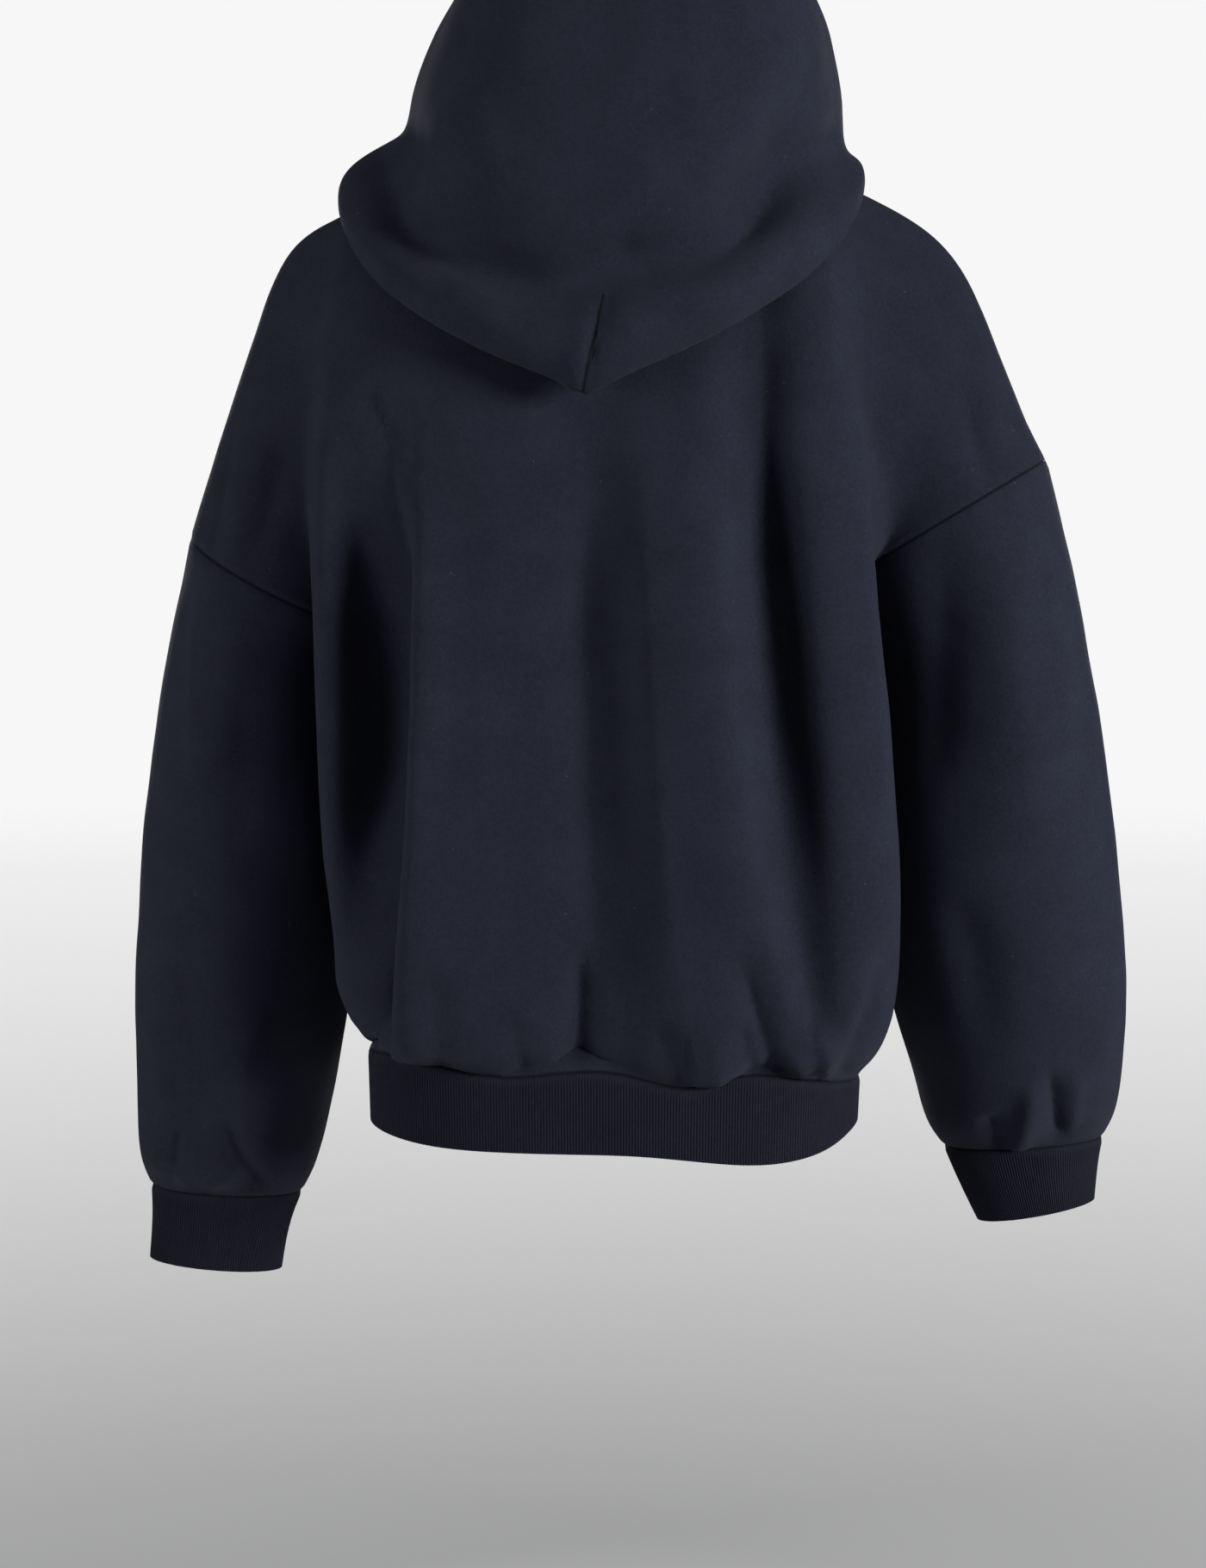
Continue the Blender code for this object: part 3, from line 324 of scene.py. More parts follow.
# The large folds of the back: a line from top to bottom, how far its middle bows towards the left, and
# how far it is raised or sunk
backFolds = table(
    "topX  topZ  bottomX  bottomZ  bow  halfWide  height",
    (0.186, -0.16, 0.186, -0.57, -0.020, 0.021, -0.024),
    (0.124, -0.21, 0.172, -0.57, -0.010, 0.019, 0.009),
    (0.016, -0.15, 0.008, -0.60, -0.018, 0.024, -0.007),
    (-0.030, -0.15, -0.098, -0.57, -0.010, 0.028, 0.008),
    (-0.088, -0.10, -0.140, -0.54, 0.006, 0.022, -0.014),
)
frontFolds = table(
    "topX  topZ  bottomX  bottomZ  bow  halfWide  height",
    (0.166, -0.20, 0.160, -0.57, -0.014, 0.020, -0.018),
    (0.060, -0.26, 0.050, -0.59, 0.006, 0.026, 0.006),
    (0.000, -0.20, -0.006, -0.60, 0.010, 0.026, -0.007),
    (-0.070, -0.22, -0.080, -0.59, -0.006, 0.028, 0.007),
    (-0.150, -0.19, -0.152, -0.56, 0.012, 0.020, -0.016),
)


def sideSign(side):
    return 1 if side == "left" else -1


def neckLine(part):
    # The neck seam of the back or the front, from the right shoulder to the left.
    angles = np.linspace(-np.pi / 2, np.pi / 2, 2 * body["lineCells"][-1] + 1)
    left = shoulderSeams["left"]
    high = np.where(angles < 0, shoulderSeams["right"]["z"][0], left["z"][0])
    middleY = centreLines[part + "Y"][0]
    middleZ = centreLines[part + "Z"][0]
    return np.stack([
        left["x"][0] * np.sin(angles),
        left["y"][0] + (middleY - left["y"][0]) * np.cos(angles),
        high + (middleZ - high) * np.cos(angles) ** 2,
    ], axis=1)


def shoulderLine(side, places):
    # The shoulder seam, read at the given shares of its way from the neck to the top of the sleeve.
    seam = shoulderSeams[side]
    points = np.stack([sideSign(side) * seam["x"], seam["y"], seam["z"]], axis=1)
    points[-1] = armholePoint(side, np.radians(armholes[side]["start"]))
    return smoothLine(points, places)


def armholePoint(side, angle):
    # A point of the armhole: angle 0 is its top, a quarter turn its back and half a turn under the arm.
    hole = armholes[side]
    middleX = (hole["topX"] + hole["underX"]) / 2
    middleZ = (hole["topZ"] + hole["underZ"]) / 2
    x = middleX + (hole["topX"] - middleX) * np.cos(angle)
    y = hole["y"] + hole["deep"] * np.sin(angle)
    z = middleZ + (hole["topZ"] - middleZ) * np.cos(angle) - hole["sag"] * max(np.sin(angle), 0)
    return np.array([sideSign(side) * x, y, z])


def armholeAngles(side, part, places):
    # From the shoulder seam to under the arm, over the back or over the front.
    start = np.radians(armholes[side]["start"])
    return start + ((np.pi if part == "back" else -np.pi) - start) * places


def armholePlaces():
    return placesBetween(np.linspace(0, 1, len(body["armholeCells"]) + 1), body["armholeCells"])


def hemSeamPoint(share, part):
    # A point of the hem rib's seam. share runs from -1 at the right side to 1 at the left.
    angle = share * np.pi / 2
    power = 2 / ribbing["square"]
    x = ribbing["topWide"] * np.sign(np.sin(angle)) * abs(np.sin(angle)) ** power
    deep = ribbing["back"] if part == "back" else -ribbing["front"]
    y = deep * abs(np.cos(angle)) ** power
    z = splineWeights(hemSeam["x"], x) @ hemSeam["z"]
    return np.array([ribbing["centreX"] + x, y, z[0]])


def sideSeamPoints(side):
    seam = sideSeams[side]
    return np.stack([sideSign(side) * seam["x"], seam["y"], seam["z"]], axis=1)


def outerLine(side, part):
    # The edge of a panel from the shoulder seam round the armhole and down the side seam.
    armhole = [armholePoint(side, a) for a in armholeAngles(side, part, armholePlaces())]
    points = np.concatenate([armhole[-1:], sideSeamPoints(side), [hemSeamPoint(sideSign(side), part)]])
    sideLine = smoothLine(points, placesBetween(lengthsAlong(points), body["sideCells"]))
    return np.concatenate([armhole, sideLine[1:]])


def bodyNet(part):
    # The net of points of the back or the front, from the right edge over the centre to the left.
    centreY, centreZ = centreLines[part + "Y"], centreLines[part + "Z"]
    middle = np.stack([np.zeros(len(centreY)), centreY, centreZ], axis=1)
    halves = {}
    for side in ("left", "right"):
        sign = sideSign(side)
        quarter = quarters[side + part.capitalize()]
        levels = np.linspace(0, 1, len(body["armholeCells"]) + 1)
        edges = [armholePoint(side, a) for a in armholeAngles(side, part, levels)]
        edges += list(sideSeamPoints(side))
        rows = [shoulderLine(side, lineStarts[side])]
        for i in range(len(quarter["foldX"])):
            centre = middle[i + 1]
            edge = edges[i + 1]
            fold = np.array([sign * quarter["foldX"][i], quarter["foldY"][i], quarter["foldZ"][i]])
            blade = centre + (fold - centre) * body["bladeShares"]
            turn = centre + (fold - centre) * body["turnShares"]
            drop = body["armpitDrop"] if i == body["armpitLevel"] else 0
            dipZ = fold[2] + body["dipDropShare"] * (edge[2] - fold[2]) - drop / 2
            armZ = fold[2] + body["armDropShare"] * (edge[2] - fold[2]) - drop
            dip = np.array([sign * quarter["dipX"][i], quarter["dipY"][i], dipZ])
            arm = np.array([sign * quarter["armX"][i], quarter["armY"][i], armZ])
            rows.append(np.array([blade, turn, fold, dip, arm, edge]))
        rows.append(np.array([hemSeamPoint(sign * s, part) for s in ribbing["shares"][1:]]))
        halves[side] = np.array(rows)
    centre = np.concatenate([middle, [hemSeamPoint(0, part)]])
    return np.concatenate([halves["right"][:, ::-1], centre[:, None], halves["left"]], axis=1)


def bodyGhosts(net, other):
    # The back runs on over the shoulder seams and past the side seams into the front, and the other way.
    row = 2 * net[0] - net[1]
    besideNeck = np.arange(net.shape[1]) != len(body["lineCells"])
    row[besideNeck] = other[1, besideNeck]
    before = 2 * net[:, 0] - net[:, 1]
    after = 2 * net[:, -1] - net[:, -2]
    belowArms = slice(len(body["armholeCells"]) + 1, None)
    before[belowArms] = other[belowArms, 1]
    after[belowArms] = other[belowArms, -2]
    return dict(rowBefore=row, columnBefore=before, columnAfter=after)


def foldHeights(points, folds):
    # How far the folds raise or sink a panel at its points.
    heights = np.zeros(points.shape[:-1])
    for i in range(len(folds["topX"])):
        down = (points[..., 2] - folds["topZ"][i]) / (folds["bottomZ"][i] - folds["topZ"][i])
        lineX = folds["topX"][i] + (folds["bottomX"][i] - folds["topX"][i]) * down
        lineX += folds["bow"][i] * np.sin(np.pi * np.clip(down, 0, 1))
        across = (points[..., 0] - lineX) / folds["halfWide"][i]
        swell = np.sin(np.pi * np.clip(down, 0, 1)) ** body["foldEnds"]
        heights += folds["height"][i] * swell * np.exp(-across ** 2)
    return heights


def bodyPanel(part, folds):
    # The middle surface of the back or the front, its rows running down and its columns right to left.
    net = bodyNet(part)
    other = bodyNet("front" if part == "back" else "back")
    rowCells = body["armholeCells"] + body["sideCells"]
    columnCells = body["lineCells"] + body["lineCells"][::-1]
    grid = netSurface(net, rowCells, columnCells, bodyGhosts(net, other))
    outward = 1 if part == "back" else -1
    grid[..., 1] += foldHeights(grid, folds) * outward

    shoulderCells = body["lineCells"][-2::-1]
    shoulders = {side: shoulderLine(side, placesBetween(np.array(lineStarts[side]), shoulderCells))
                 for side in ("left", "right")}
    top = np.concatenate([shoulders["right"][::-1], neckLine(part)[1:-1], shoulders["left"]])
    shares = placesBetween(np.array(ribbing["shares"]), body["lineCells"][::-1])
    bottom = np.array([hemSeamPoint(s, part) for s in [*-shares[:0:-1], *shares]])
    grid = pullTo(grid, top, 0, body["pull"]["top"])
    grid = pullTo(grid, bottom, -1, body["pull"]["bottom"])
    grid = pullTo(grid.swapaxes(0, 1), outerLine("right", part), 0, body["pull"]["side"])
    grid = pullTo(grid, outerLine("left", part), -1, body["pull"]["side"])
    return grid.swapaxes(0, 1)


def pullTo(grid, line, row, reach):
    # Moves a row of a grid onto a line and lets the points near it follow.
    away = np.linalg.norm(grid - grid[row][None], axis=2)
    grid = grid + ease(away, reach)[..., None] * (line - grid[row])[None]
    grid[row] = line
    return grid


sleeve = {
    "cells": (24, 18, 18, 18, 18, 18, 9),
    "pull": 0.05,             # reach over which a sleeve follows its armhole
    "flat": {"sleeve_left": (0.49, 0.52, 0.212), "sleeve_right": (0.50, 0.55, 0.228)},
}

# Cuffs and hem rib. The shares are where the body's lines meet the rib, from centre to side.
ribbing = {
    "topWide": 0.1735,        # half width of the hem rib at its seam
    "endWide": 0.1720,        # and at its lower edge
    "back": 0.119,
    "front": 0.127,
    "centreX": 0.003,
    "square": 2.8,            # 2 is an ellipse, more is squarer
    "shares": (0, 0.32, 0.55, 0.70, 0.83, 0.92, 1),
    "bandCells": 14,
    "endDeep": 0.985,         # depth of its lower edge, as a share of the seam's
    "pitch": 0.0020,          # from rib to rib
    "ribHeight": 0.00065,
    "columnsToRib": 6,
    "roundness": 0.7,         # a power below 1 makes the ribs broad and the channels narrow
    "startFrom": 0.006,       # the ribs rise over this far from the seam
    "insideShare": -0.5,      # the inside's ribs lie behind the outside's, half as high, the other way
    "flat": {
        "cuff_left": (0.28, 0.060, 0.0166),
        "cuff_right": (0.28, 0.056, 0.0150),
        "hem_rib": (0.93, 0.068, 0.061),
    },
}

# The sleeves, a row for each section below the armhole. wide and deep are half sizes, and tilt turns
# the section so that its outer side is higher.
sleeveSections = {
    "left": table(
        "x  y  z  wide  deep  tilt",
        (0.2630, -0.030, -0.362, 0.0710, 0.088, 13),
        (0.2660, -0.032, -0.450, 0.0795, 0.086, 6),
        (0.2735, -0.035, -0.530, 0.0785, 0.082, 4),
        (0.2805, -0.038, -0.600, 0.0740, 0.074, 3),
        (0.2860, -0.041, -0.655, 0.0685, 0.063, 3),
        (0.2895, -0.043, -0.690, 0.0620, 0.050, 3),
        (0.2910, -0.044, -0.707, 0.0545, 0.036, 3),
    ),
    "right": table(
        "x  y  z  wide  deep  tilt",
        (0.2630, -0.030, -0.345, 0.0800, 0.086, 15),
        (0.2670, -0.032, -0.430, 0.0885, 0.086, 8),
        (0.2770, -0.035, -0.510, 0.0875, 0.082, 5),
        (0.2870, -0.038, -0.580, 0.0810, 0.074, 4),
        (0.2930, -0.041, -0.625, 0.0735, 0.063, 4),
        (0.2955, -0.043, -0.655, 0.0660, 0.050, 4),
        (0.2970, -0.044, -0.670, 0.0570, 0.036, 4),
    ),
}

# The cuffs, below the sleeve's last section
cuffSections = {
    "left": table(
        "x  y  z  wide  deep  tilt",
        (0.2940, -0.0445, -0.722, 0.0510, 0.031, 4),
        (0.3000, -0.046, -0.764, 0.0475, 0.028, 5),
    ),
    "right": table(
        "x  y  z  wide  deep  tilt",
        (0.3000, -0.0445, -0.686, 0.0520, 0.031, 8),
        (0.3070, -0.046, -0.721, 0.0420, 0.028, 11),
    ),
}


def section(row, angles, side):
    # Points round one section of a sleeve or cuff.
    tilt = np.radians(row["tilt"])
    out = row["wide"] * np.cos(angles)
    return np.stack([
        sideSign(side) * (row["x"] + out * np.cos(tilt)),
        row["y"] + row["deep"] * np.sin(angles),
        row["z"] + out * np.sin(tilt),
    ], axis=1)


def sections(columns, angles, side):
    rows = [{name: values[i] for name, values in columns.items()} for i in range(len(columns["x"]))]
    return [section(row, angles, side) for row in rows]


def tube(net, places):
    # A tube through a net of sections, read at the given shares of its length.
    return np.einsum("ri,ijk->rjk", splineWeights(meanLengths(net, 0), places), net)


def sleeveSurface(side, ring, angles):
    # The sleeve from its armhole ring to the cuff seam.
    start = np.array([armholePoint(side, a) for a in angles])
    net = np.array([start] + sections(sleeveSections[side], angles, side))
    grid = tube(net, placesBetween(meanLengths(net, 0), sleeve["cells"]))
    return pullTo(grid, ring, 0, sleeve["pull"])


def cuffSurface(side, top, angles):
    net = np.array([top] + sections(cuffSections[side], angles, side))
    return tube(net, np.linspace(0, 1, ribbing["bandCells"] + 1))


def hemRibSurface(top):
    # The hem rib, from its wavy seam to its lower edge.
    shares = (top[:, 0] - ribbing["centreX"]) / ribbing["topWide"]
    end = top.copy()
    end[:, 0] = ribbing["centreX"] + shares * ribbing["endWide"]
    end[:, 1] = top[:, 1] * ribbing["endDeep"]
    end[:, 2] = splineWeights(hemEnd["x"], end[:, 0]) @ hemEnd["z"]
    steps = np.linspace(0, 1, ribbing["bandCells"] + 1)[:, None, None]
    return top[None] * (1 - steps) + end[None] * steps


hood = {
    "cells": (6, 12, 12, 12, 12, 12, 12, 12, 18, 12, 12, 12),
    "lineCells": (24, 12, 12, 24, 24),    # face, cheek, shoulder, side, quarter and centre lines
    "shoulderLift": (0, 0, 0.004, 0.009, 0.018, 0.012, 0.004, 0, 0, 0, 0, 0, 0),   # over the shoulder's top
    "cheekBulge": 0.024,      # how far the hood swells out between its side and its face edge
    "cheekWide": 0.1,         # where these are this far apart
    "cheekForward": 0.6,      # and how much of that it swells forward
    "rollRow": 4,             # the row of the roll's lower edge
    "dartDrop": 0.021,        # the dart at the nape pulls the roll's edge down to a point
    "dartReach": 0.032,
    "dartRows": 1.2,          # rows over which it dies away, up and down
    "dartFrom": 0.1,          # the dart pulls fully from this far behind the neck
    "pull": {"neck": 0.04, "crown": 0.03},    # reach over which the hood follows its seams
    "flat": {"hood": (0.62, 0.56, 0.309)},
}

# The hood, a row for each level from the neck seam, out and down under the roll, up its outer face to
# the crease, and up to the crown. centre is the centre back, quarter half way to the side.
hoodCentre = table(
    "x  y  z  faceX  faceY  faceZ",
    (0.000, 0.070, 0.000, 0.001, -0.098, -0.085),    # neck seam
    (0.002, 0.086, 0.010, 0.008, -0.109, -0.064),
    (0.006, 0.112, -0.012, 0.017, -0.117, -0.042),
    (0.013, 0.134, -0.074, 0.029, -0.123, -0.018),
    (0.018, 0.153, -0.128, 0.042, -0.127, 0.007),    # lower edge of the roll
    (0.014, 0.171, -0.112, 0.054, -0.128, 0.030),
    (0.008, 0.159, -0.074, 0.064, -0.127, 0.052),    # crease
    (0.004, 0.171, -0.036, 0.071, -0.124, 0.074),
    (0.000, 0.178, 0.034, 0.074, -0.118, 0.100),
    (0.000, 0.172, 0.098, 0.070, -0.110, 0.126),
    (0.000, 0.150, 0.150, 0.058, -0.102, 0.150),
    (0.000, 0.108, 0.184, 0.035, -0.096, 0.170),
    (0.000, 0.056, 0.197, 0.000, -0.093, 0.180),     # crown seam
)
hoodSides = {
    "left": table(
        "sideX  sideY  sideZ  quarterX  quarterY  quarterZ",
        (0.100, -0.004, 0.022, 0.074, 0.048, 0.011),
        (0.110, -0.002, 0.040, 0.084, 0.060, 0.024),
        (0.134, 0.002, 0.040, 0.104, 0.082, 0.008),
        (0.168, 0.014, 0.020, 0.118, 0.110, -0.048),
        (0.189, 0.040, -0.009, 0.114, 0.136, -0.102),
        (0.193, 0.041, 0.004, 0.118, 0.145, -0.085),
        (0.167, 0.029, 0.035, 0.110, 0.130, -0.049),
        (0.150, 0.022, 0.050, 0.105, 0.138, -0.018),
        (0.137, 0.020, 0.084, 0.100, 0.141, 0.044),
        (0.119, 0.016, 0.124, 0.089, 0.132, 0.106),
        (0.098, 0.010, 0.160, 0.073, 0.112, 0.155),
        (0.064, 0.004, 0.188, 0.046, 0.080, 0.188),
        (0.000, -0.004, 0.202, 0.000, 0.028, 0.203),
    ),
    "right": table(
        "sideX  sideY  sideZ  quarterX  quarterY  quarterZ",
        (0.100, -0.004, 0.026, 0.074, 0.048, 0.013),
        (0.108, -0.002, 0.042, 0.082, 0.060, 0.026),
        (0.126, 0.002, 0.042, 0.098, 0.082, 0.010),
        (0.149, 0.014, 0.025, 0.098, 0.109, -0.042),
        (0.166, 0.034, 0.000, 0.092, 0.129, -0.090),
        (0.170, 0.039, 0.011, 0.094, 0.145, -0.068),
        (0.160, 0.026, 0.034, 0.098, 0.127, -0.010),
        (0.156, 0.022, 0.050, 0.106, 0.134, 0.012),
        (0.150, 0.020, 0.084, 0.112, 0.137, 0.058),
        (0.141, 0.016, 0.122, 0.106, 0.129, 0.112),
        (0.126, 0.010, 0.154, 0.092, 0.109, 0.152),
        (0.078, 0.004, 0.182, 0.054, 0.077, 0.184),
        (0.000, -0.004, 0.202, 0.000, 0.028, 0.203),
    ),
}


def hoodNet():
    # The net of the hood from the right face edge round the back to the left, from neck seam to crown.
    middle = hoodCentre
    rows = []
    for i in range(len(middle["x"])):
        half = {}
        for side in ("left", "right"):
            sign = sideSign(side)
            sizes = {name: values[i] for name, values in hoodSides[side].items()}
            face = np.array([sign * middle["faceX"][i], middle["faceY"][i], middle["faceZ"][i]])
            edge = np.array([sign * sizes["sideX"], sizes["sideY"], sizes["sideZ"]])
            quarter = np.array([sign * sizes["quarterX"], sizes["quarterY"], sizes["quarterZ"]])
            bulge = hood["cheekBulge"] * abs(edge[0] - face[0]) / hood["cheekWide"]
            lift = hood["shoulderLift"][i]
            cheek = (face + edge) / 2 + np.array([sign * bulge, -hood["cheekForward"] * bulge, lift / 2])
            shoulder = (9 * (edge + cheek) - quarter - face) / 16 + np.array([0, 0, lift])
            half[side] = [quarter, edge, shoulder, cheek, face]
        centre = np.array([middle["x"][i], middle["y"][i], middle["z"][i]])
        rows.append(half["right"][::-1] + [centre] + half["left"])
    return np.array(rows)


def hoodSurface(neck):
    net = hoodNet()
    middle = len(hood["lineCells"])
    overCrown = net[-2, ::-1].copy()
    overCrown[middle] = 2 * net[-1, middle] - net[-2, middle]
    columnCells = hood["lineCells"] + hood["lineCells"][::-1]
    grid = netSurface(net, hood["cells"], columnCells, dict(rowAfter=overCrown))
    rows = placesBetween(np.arange(len(hood["cells"]) + 1), hood["cells"])
    nearEdge = np.exp(-((rows - hood["rollRow"]) / hood["dartRows"]) ** 2)
    away = np.abs(grid[..., 0] - hoodCentre["x"][hood["rollRow"]]) / hood["dartReach"]
    behind = np.clip(grid[..., 1] / hood["dartFrom"], 0, 1)
    grid[..., 2] -= hood["dartDrop"] * nearEdge[:, None] * np.exp(-away) * behind
    grid = pullTo(grid, neck, 0, hood["pull"]["neck"])
    crown = (grid[-1] + grid[-1, ::-1]) / 2
    crown[:, 0] = 0
    return pullTo(grid, crown, -1, hood["pull"]["crown"])


# Creases, given one by one. Each runs through three points of a line seen square on, from its first end to
# its second. left and right are its widths on either side (left is towards +X on a line that runs
# down), height is out of the cloth, head and tail are what is left of it at its ends, and a low power
# makes it sharp.
backCreases = table(
    "x0  z0  x1  z1  x2  z2  left  right  height  head  tail  power",
    (0.154, -0.17, 0.150, -0.37, 0.165, -0.575, 0.022, 0.012, -0.0300, 0.2, 0.8, 1.6),    # deep valley
    (0.197, -0.15, 0.189, -0.32, 0.188, -0.54, 0.010, 0.019, 0.0160, 0.3, 0.3, 1.5),      # body's left edge
    (0.130, -0.20, 0.131, -0.38, 0.150, -0.575, 0.007, 0.034, 0.0120, 0.2, 0.7, 1.3),     # its sharp ridge
    (0.157, -0.511, 0.159, -0.551, 0.148, -0.580, 0.006, 0.011, -0.0060, 0.2, 0.7, 1.3),
    (0.021, -0.140, 0.014, -0.36, 0.008, -0.585, 0.050, 0.022, -0.0145, 0.2, 0.9, 1.6),   # centre valley
    (0.020, -0.500, 0.022, -0.555, 0.026, -0.598, 0.013, 0.008, -0.0080, 0.0, 1.0, 1.6),
    (0.002, -0.530, 0.005, -0.568, 0.007, -0.594, 0.009, 0.012, 0.0030, 0.0, 1.0, 1.7),
    (-0.078, -0.500, -0.095, -0.560, -0.108, -0.602, 0.015, 0.009, -0.0085, 0.0, 1.0, 1.5),
    (-0.104, -0.520, -0.115, -0.565, -0.124, -0.600, 0.008, 0.010, 0.0034, 0.0, 1.0, 1.7),
    (-0.080, -0.556, -0.086, -0.580, -0.093, -0.602, 0.007, 0.006, -0.0040, 0.0, 1.0, 1.6),
    (-0.090, -0.475, -0.114, -0.539, -0.139, -0.589, 0.009, 0.014, 0.0046, 0.0, 0.9, 1.5),
    (-0.125, -0.490, -0.142, -0.539, -0.155, -0.583, 0.012, 0.011, -0.0026, 0.0, 0.9, 1.7),
    (-0.184, -0.480, -0.175, -0.545, -0.156, -0.600, 0.009, 0.007, -0.0080, 0.0, 1.0, 1.4),   # side pouch
    (-0.148, -0.090, -0.163, -0.240, -0.185, -0.510, 0.026, 0.005, 0.0085, 0.5, 0.6, 1.2),    # right ridge
    (-0.097, -0.080, -0.109, -0.330, -0.134, -0.560, 0.031, 0.017, -0.0200, 0.4, 0.7, 1.6),   # its valley
    (-0.018, -0.140, -0.030, -0.380, -0.048, -0.560, 0.018, 0.044, 0.0100, 0.2, 0.5, 1.6),    # middle ridge
    (0.114, -0.520, 0.119, -0.562, 0.116, -0.592, 0.010, 0.012, -0.0036, 0.0, 1.0, 1.8),
    (0.071, -0.545, 0.066, -0.576, 0.062, -0.598, 0.009, 0.007, -0.0030, 0.0, 1.0, 1.7),
    (-0.029, -0.550, -0.036, -0.580, -0.044, -0.601, 0.010, 0.008, -0.0034, 0.0, 1.0, 1.7),
    (0.046, -0.560, 0.043, -0.582, 0.038, -0.597, 0.008, 0.010, 0.0022, 0.0, 1.0, 1.8),
    (-0.062, -0.555, -0.066, -0.580, -0.069, -0.601, 0.009, 0.007, 0.0024, 0.0, 1.0, 1.8),
    (0.146, -0.120, 0.124, -0.210, 0.112, -0.310, 0.026, 0.022, -0.0034, 0.1, 0.0, 2.0),
    (0.090, -0.150, 0.066, -0.240, 0.060, -0.360, 0.026, 0.030, 0.0030, 0.0, 0.0, 2.0),
    (0.060, -0.420, 0.066, -0.480, 0.092, -0.545, 0.020, 0.024, -0.0028, 0.0, 0.2, 2.0),
    (-0.040, -0.420, -0.048, -0.480, -0.040, -0.540, 0.020, 0.020, -0.0028, 0.0, 0.2, 2.0),
    (-0.022, -0.110, -0.036, -0.190, -0.034, -0.280, 0.024, 0.020, -0.0020, 0.0, 0.0, 2.0),
    (0.231, -0.150, 0.240, -0.210, 0.262, -0.262, 0.014, 0.012, -0.0040, 0.0, 0.4, 1.7),      # left arm
    (0.271, -0.150, 0.278, -0.200, 0.284, -0.245, 0.006, 0.008, -0.0045, 0.2, 0.5, 1.3),
    (0.288, -0.240, 0.292, -0.330, 0.296, -0.425, 0.008, 0.022, 0.0058, 0.4, 0.0, 1.5),
    (0.250, -0.310, 0.262, -0.400, 0.258, -0.500, 0.020, 0.022, -0.0036, 0.1, 0.0, 2.0),
    (0.222, -0.330, 0.214, -0.420, 0.217, -0.520, 0.012, 0.012, 0.0030, 0.1, 0.1, 1.8),
    (0.318, -0.500, 0.300, -0.565, 0.304, -0.640, 0.014, 0.018, -0.0034, 0.0, 0.1, 1.9),
    (0.244, -0.560, 0.262, -0.600, 0.270, -0.655, 0.014, 0.012, 0.0028, 0.0, 0.2, 1.8),
    (0.283, -0.640, 0.276, -0.670, 0.266, -0.695, 0.009, 0.010, -0.0080, 0.0, 1.0, 1.6),
    (0.333, -0.683, 0.304, -0.692, 0.276, -0.688, 0.008, 0.006, 0.0070, 0.5, 0.3, 1.6),
    (0.312, -0.645, 0.318, -0.670, 0.320, -0.690, 0.009, 0.007, -0.0050, 0.0, 0.9, 1.6),
    (-0.236, -0.125, -0.247, -0.165, -0.259, -0.205, 0.010, 0.012, -0.0038, 0.0, 0.4, 1.7),   # right arm
    (-0.226, -0.225, -0.224, -0.320, -0.222, -0.430, 0.016, 0.020, -0.0044, 0.2, 0.0, 1.8),
    (-0.262, -0.210, -0.276, -0.330, -0.285, -0.480, 0.024, 0.022, 0.0042, 0.1, 0.0, 1.8),
    (-0.312, -0.280, -0.330, -0.370, -0.335, -0.470, 0.014, 0.018, -0.0030, 0.0, 0.0, 2.0),
    (-0.232, -0.470, -0.250, -0.530, -0.262, -0.600, 0.014, 0.016, -0.0034, 0.0, 0.1, 1.9),
    (-0.304, -0.600, -0.311, -0.636, -0.316, -0.655, 0.008, 0.008, -0.0075, 0.0, 1.0, 1.5),
    (-0.292, -0.612, -0.291, -0.644, -0.286, -0.668, 0.007, 0.009, 0.0060, 0.0, 0.7, 1.6),
    (-0.325, -0.600, -0.325, -0.635, -0.323, -0.655, 0.007, 0.006, 0.0030, 0.0, 0.6, 1.6),
    (-0.262, -0.640, -0.270, -0.655, -0.275, -0.668, 0.006, 0.006, -0.0050, 0.0, 0.9, 1.5),
)
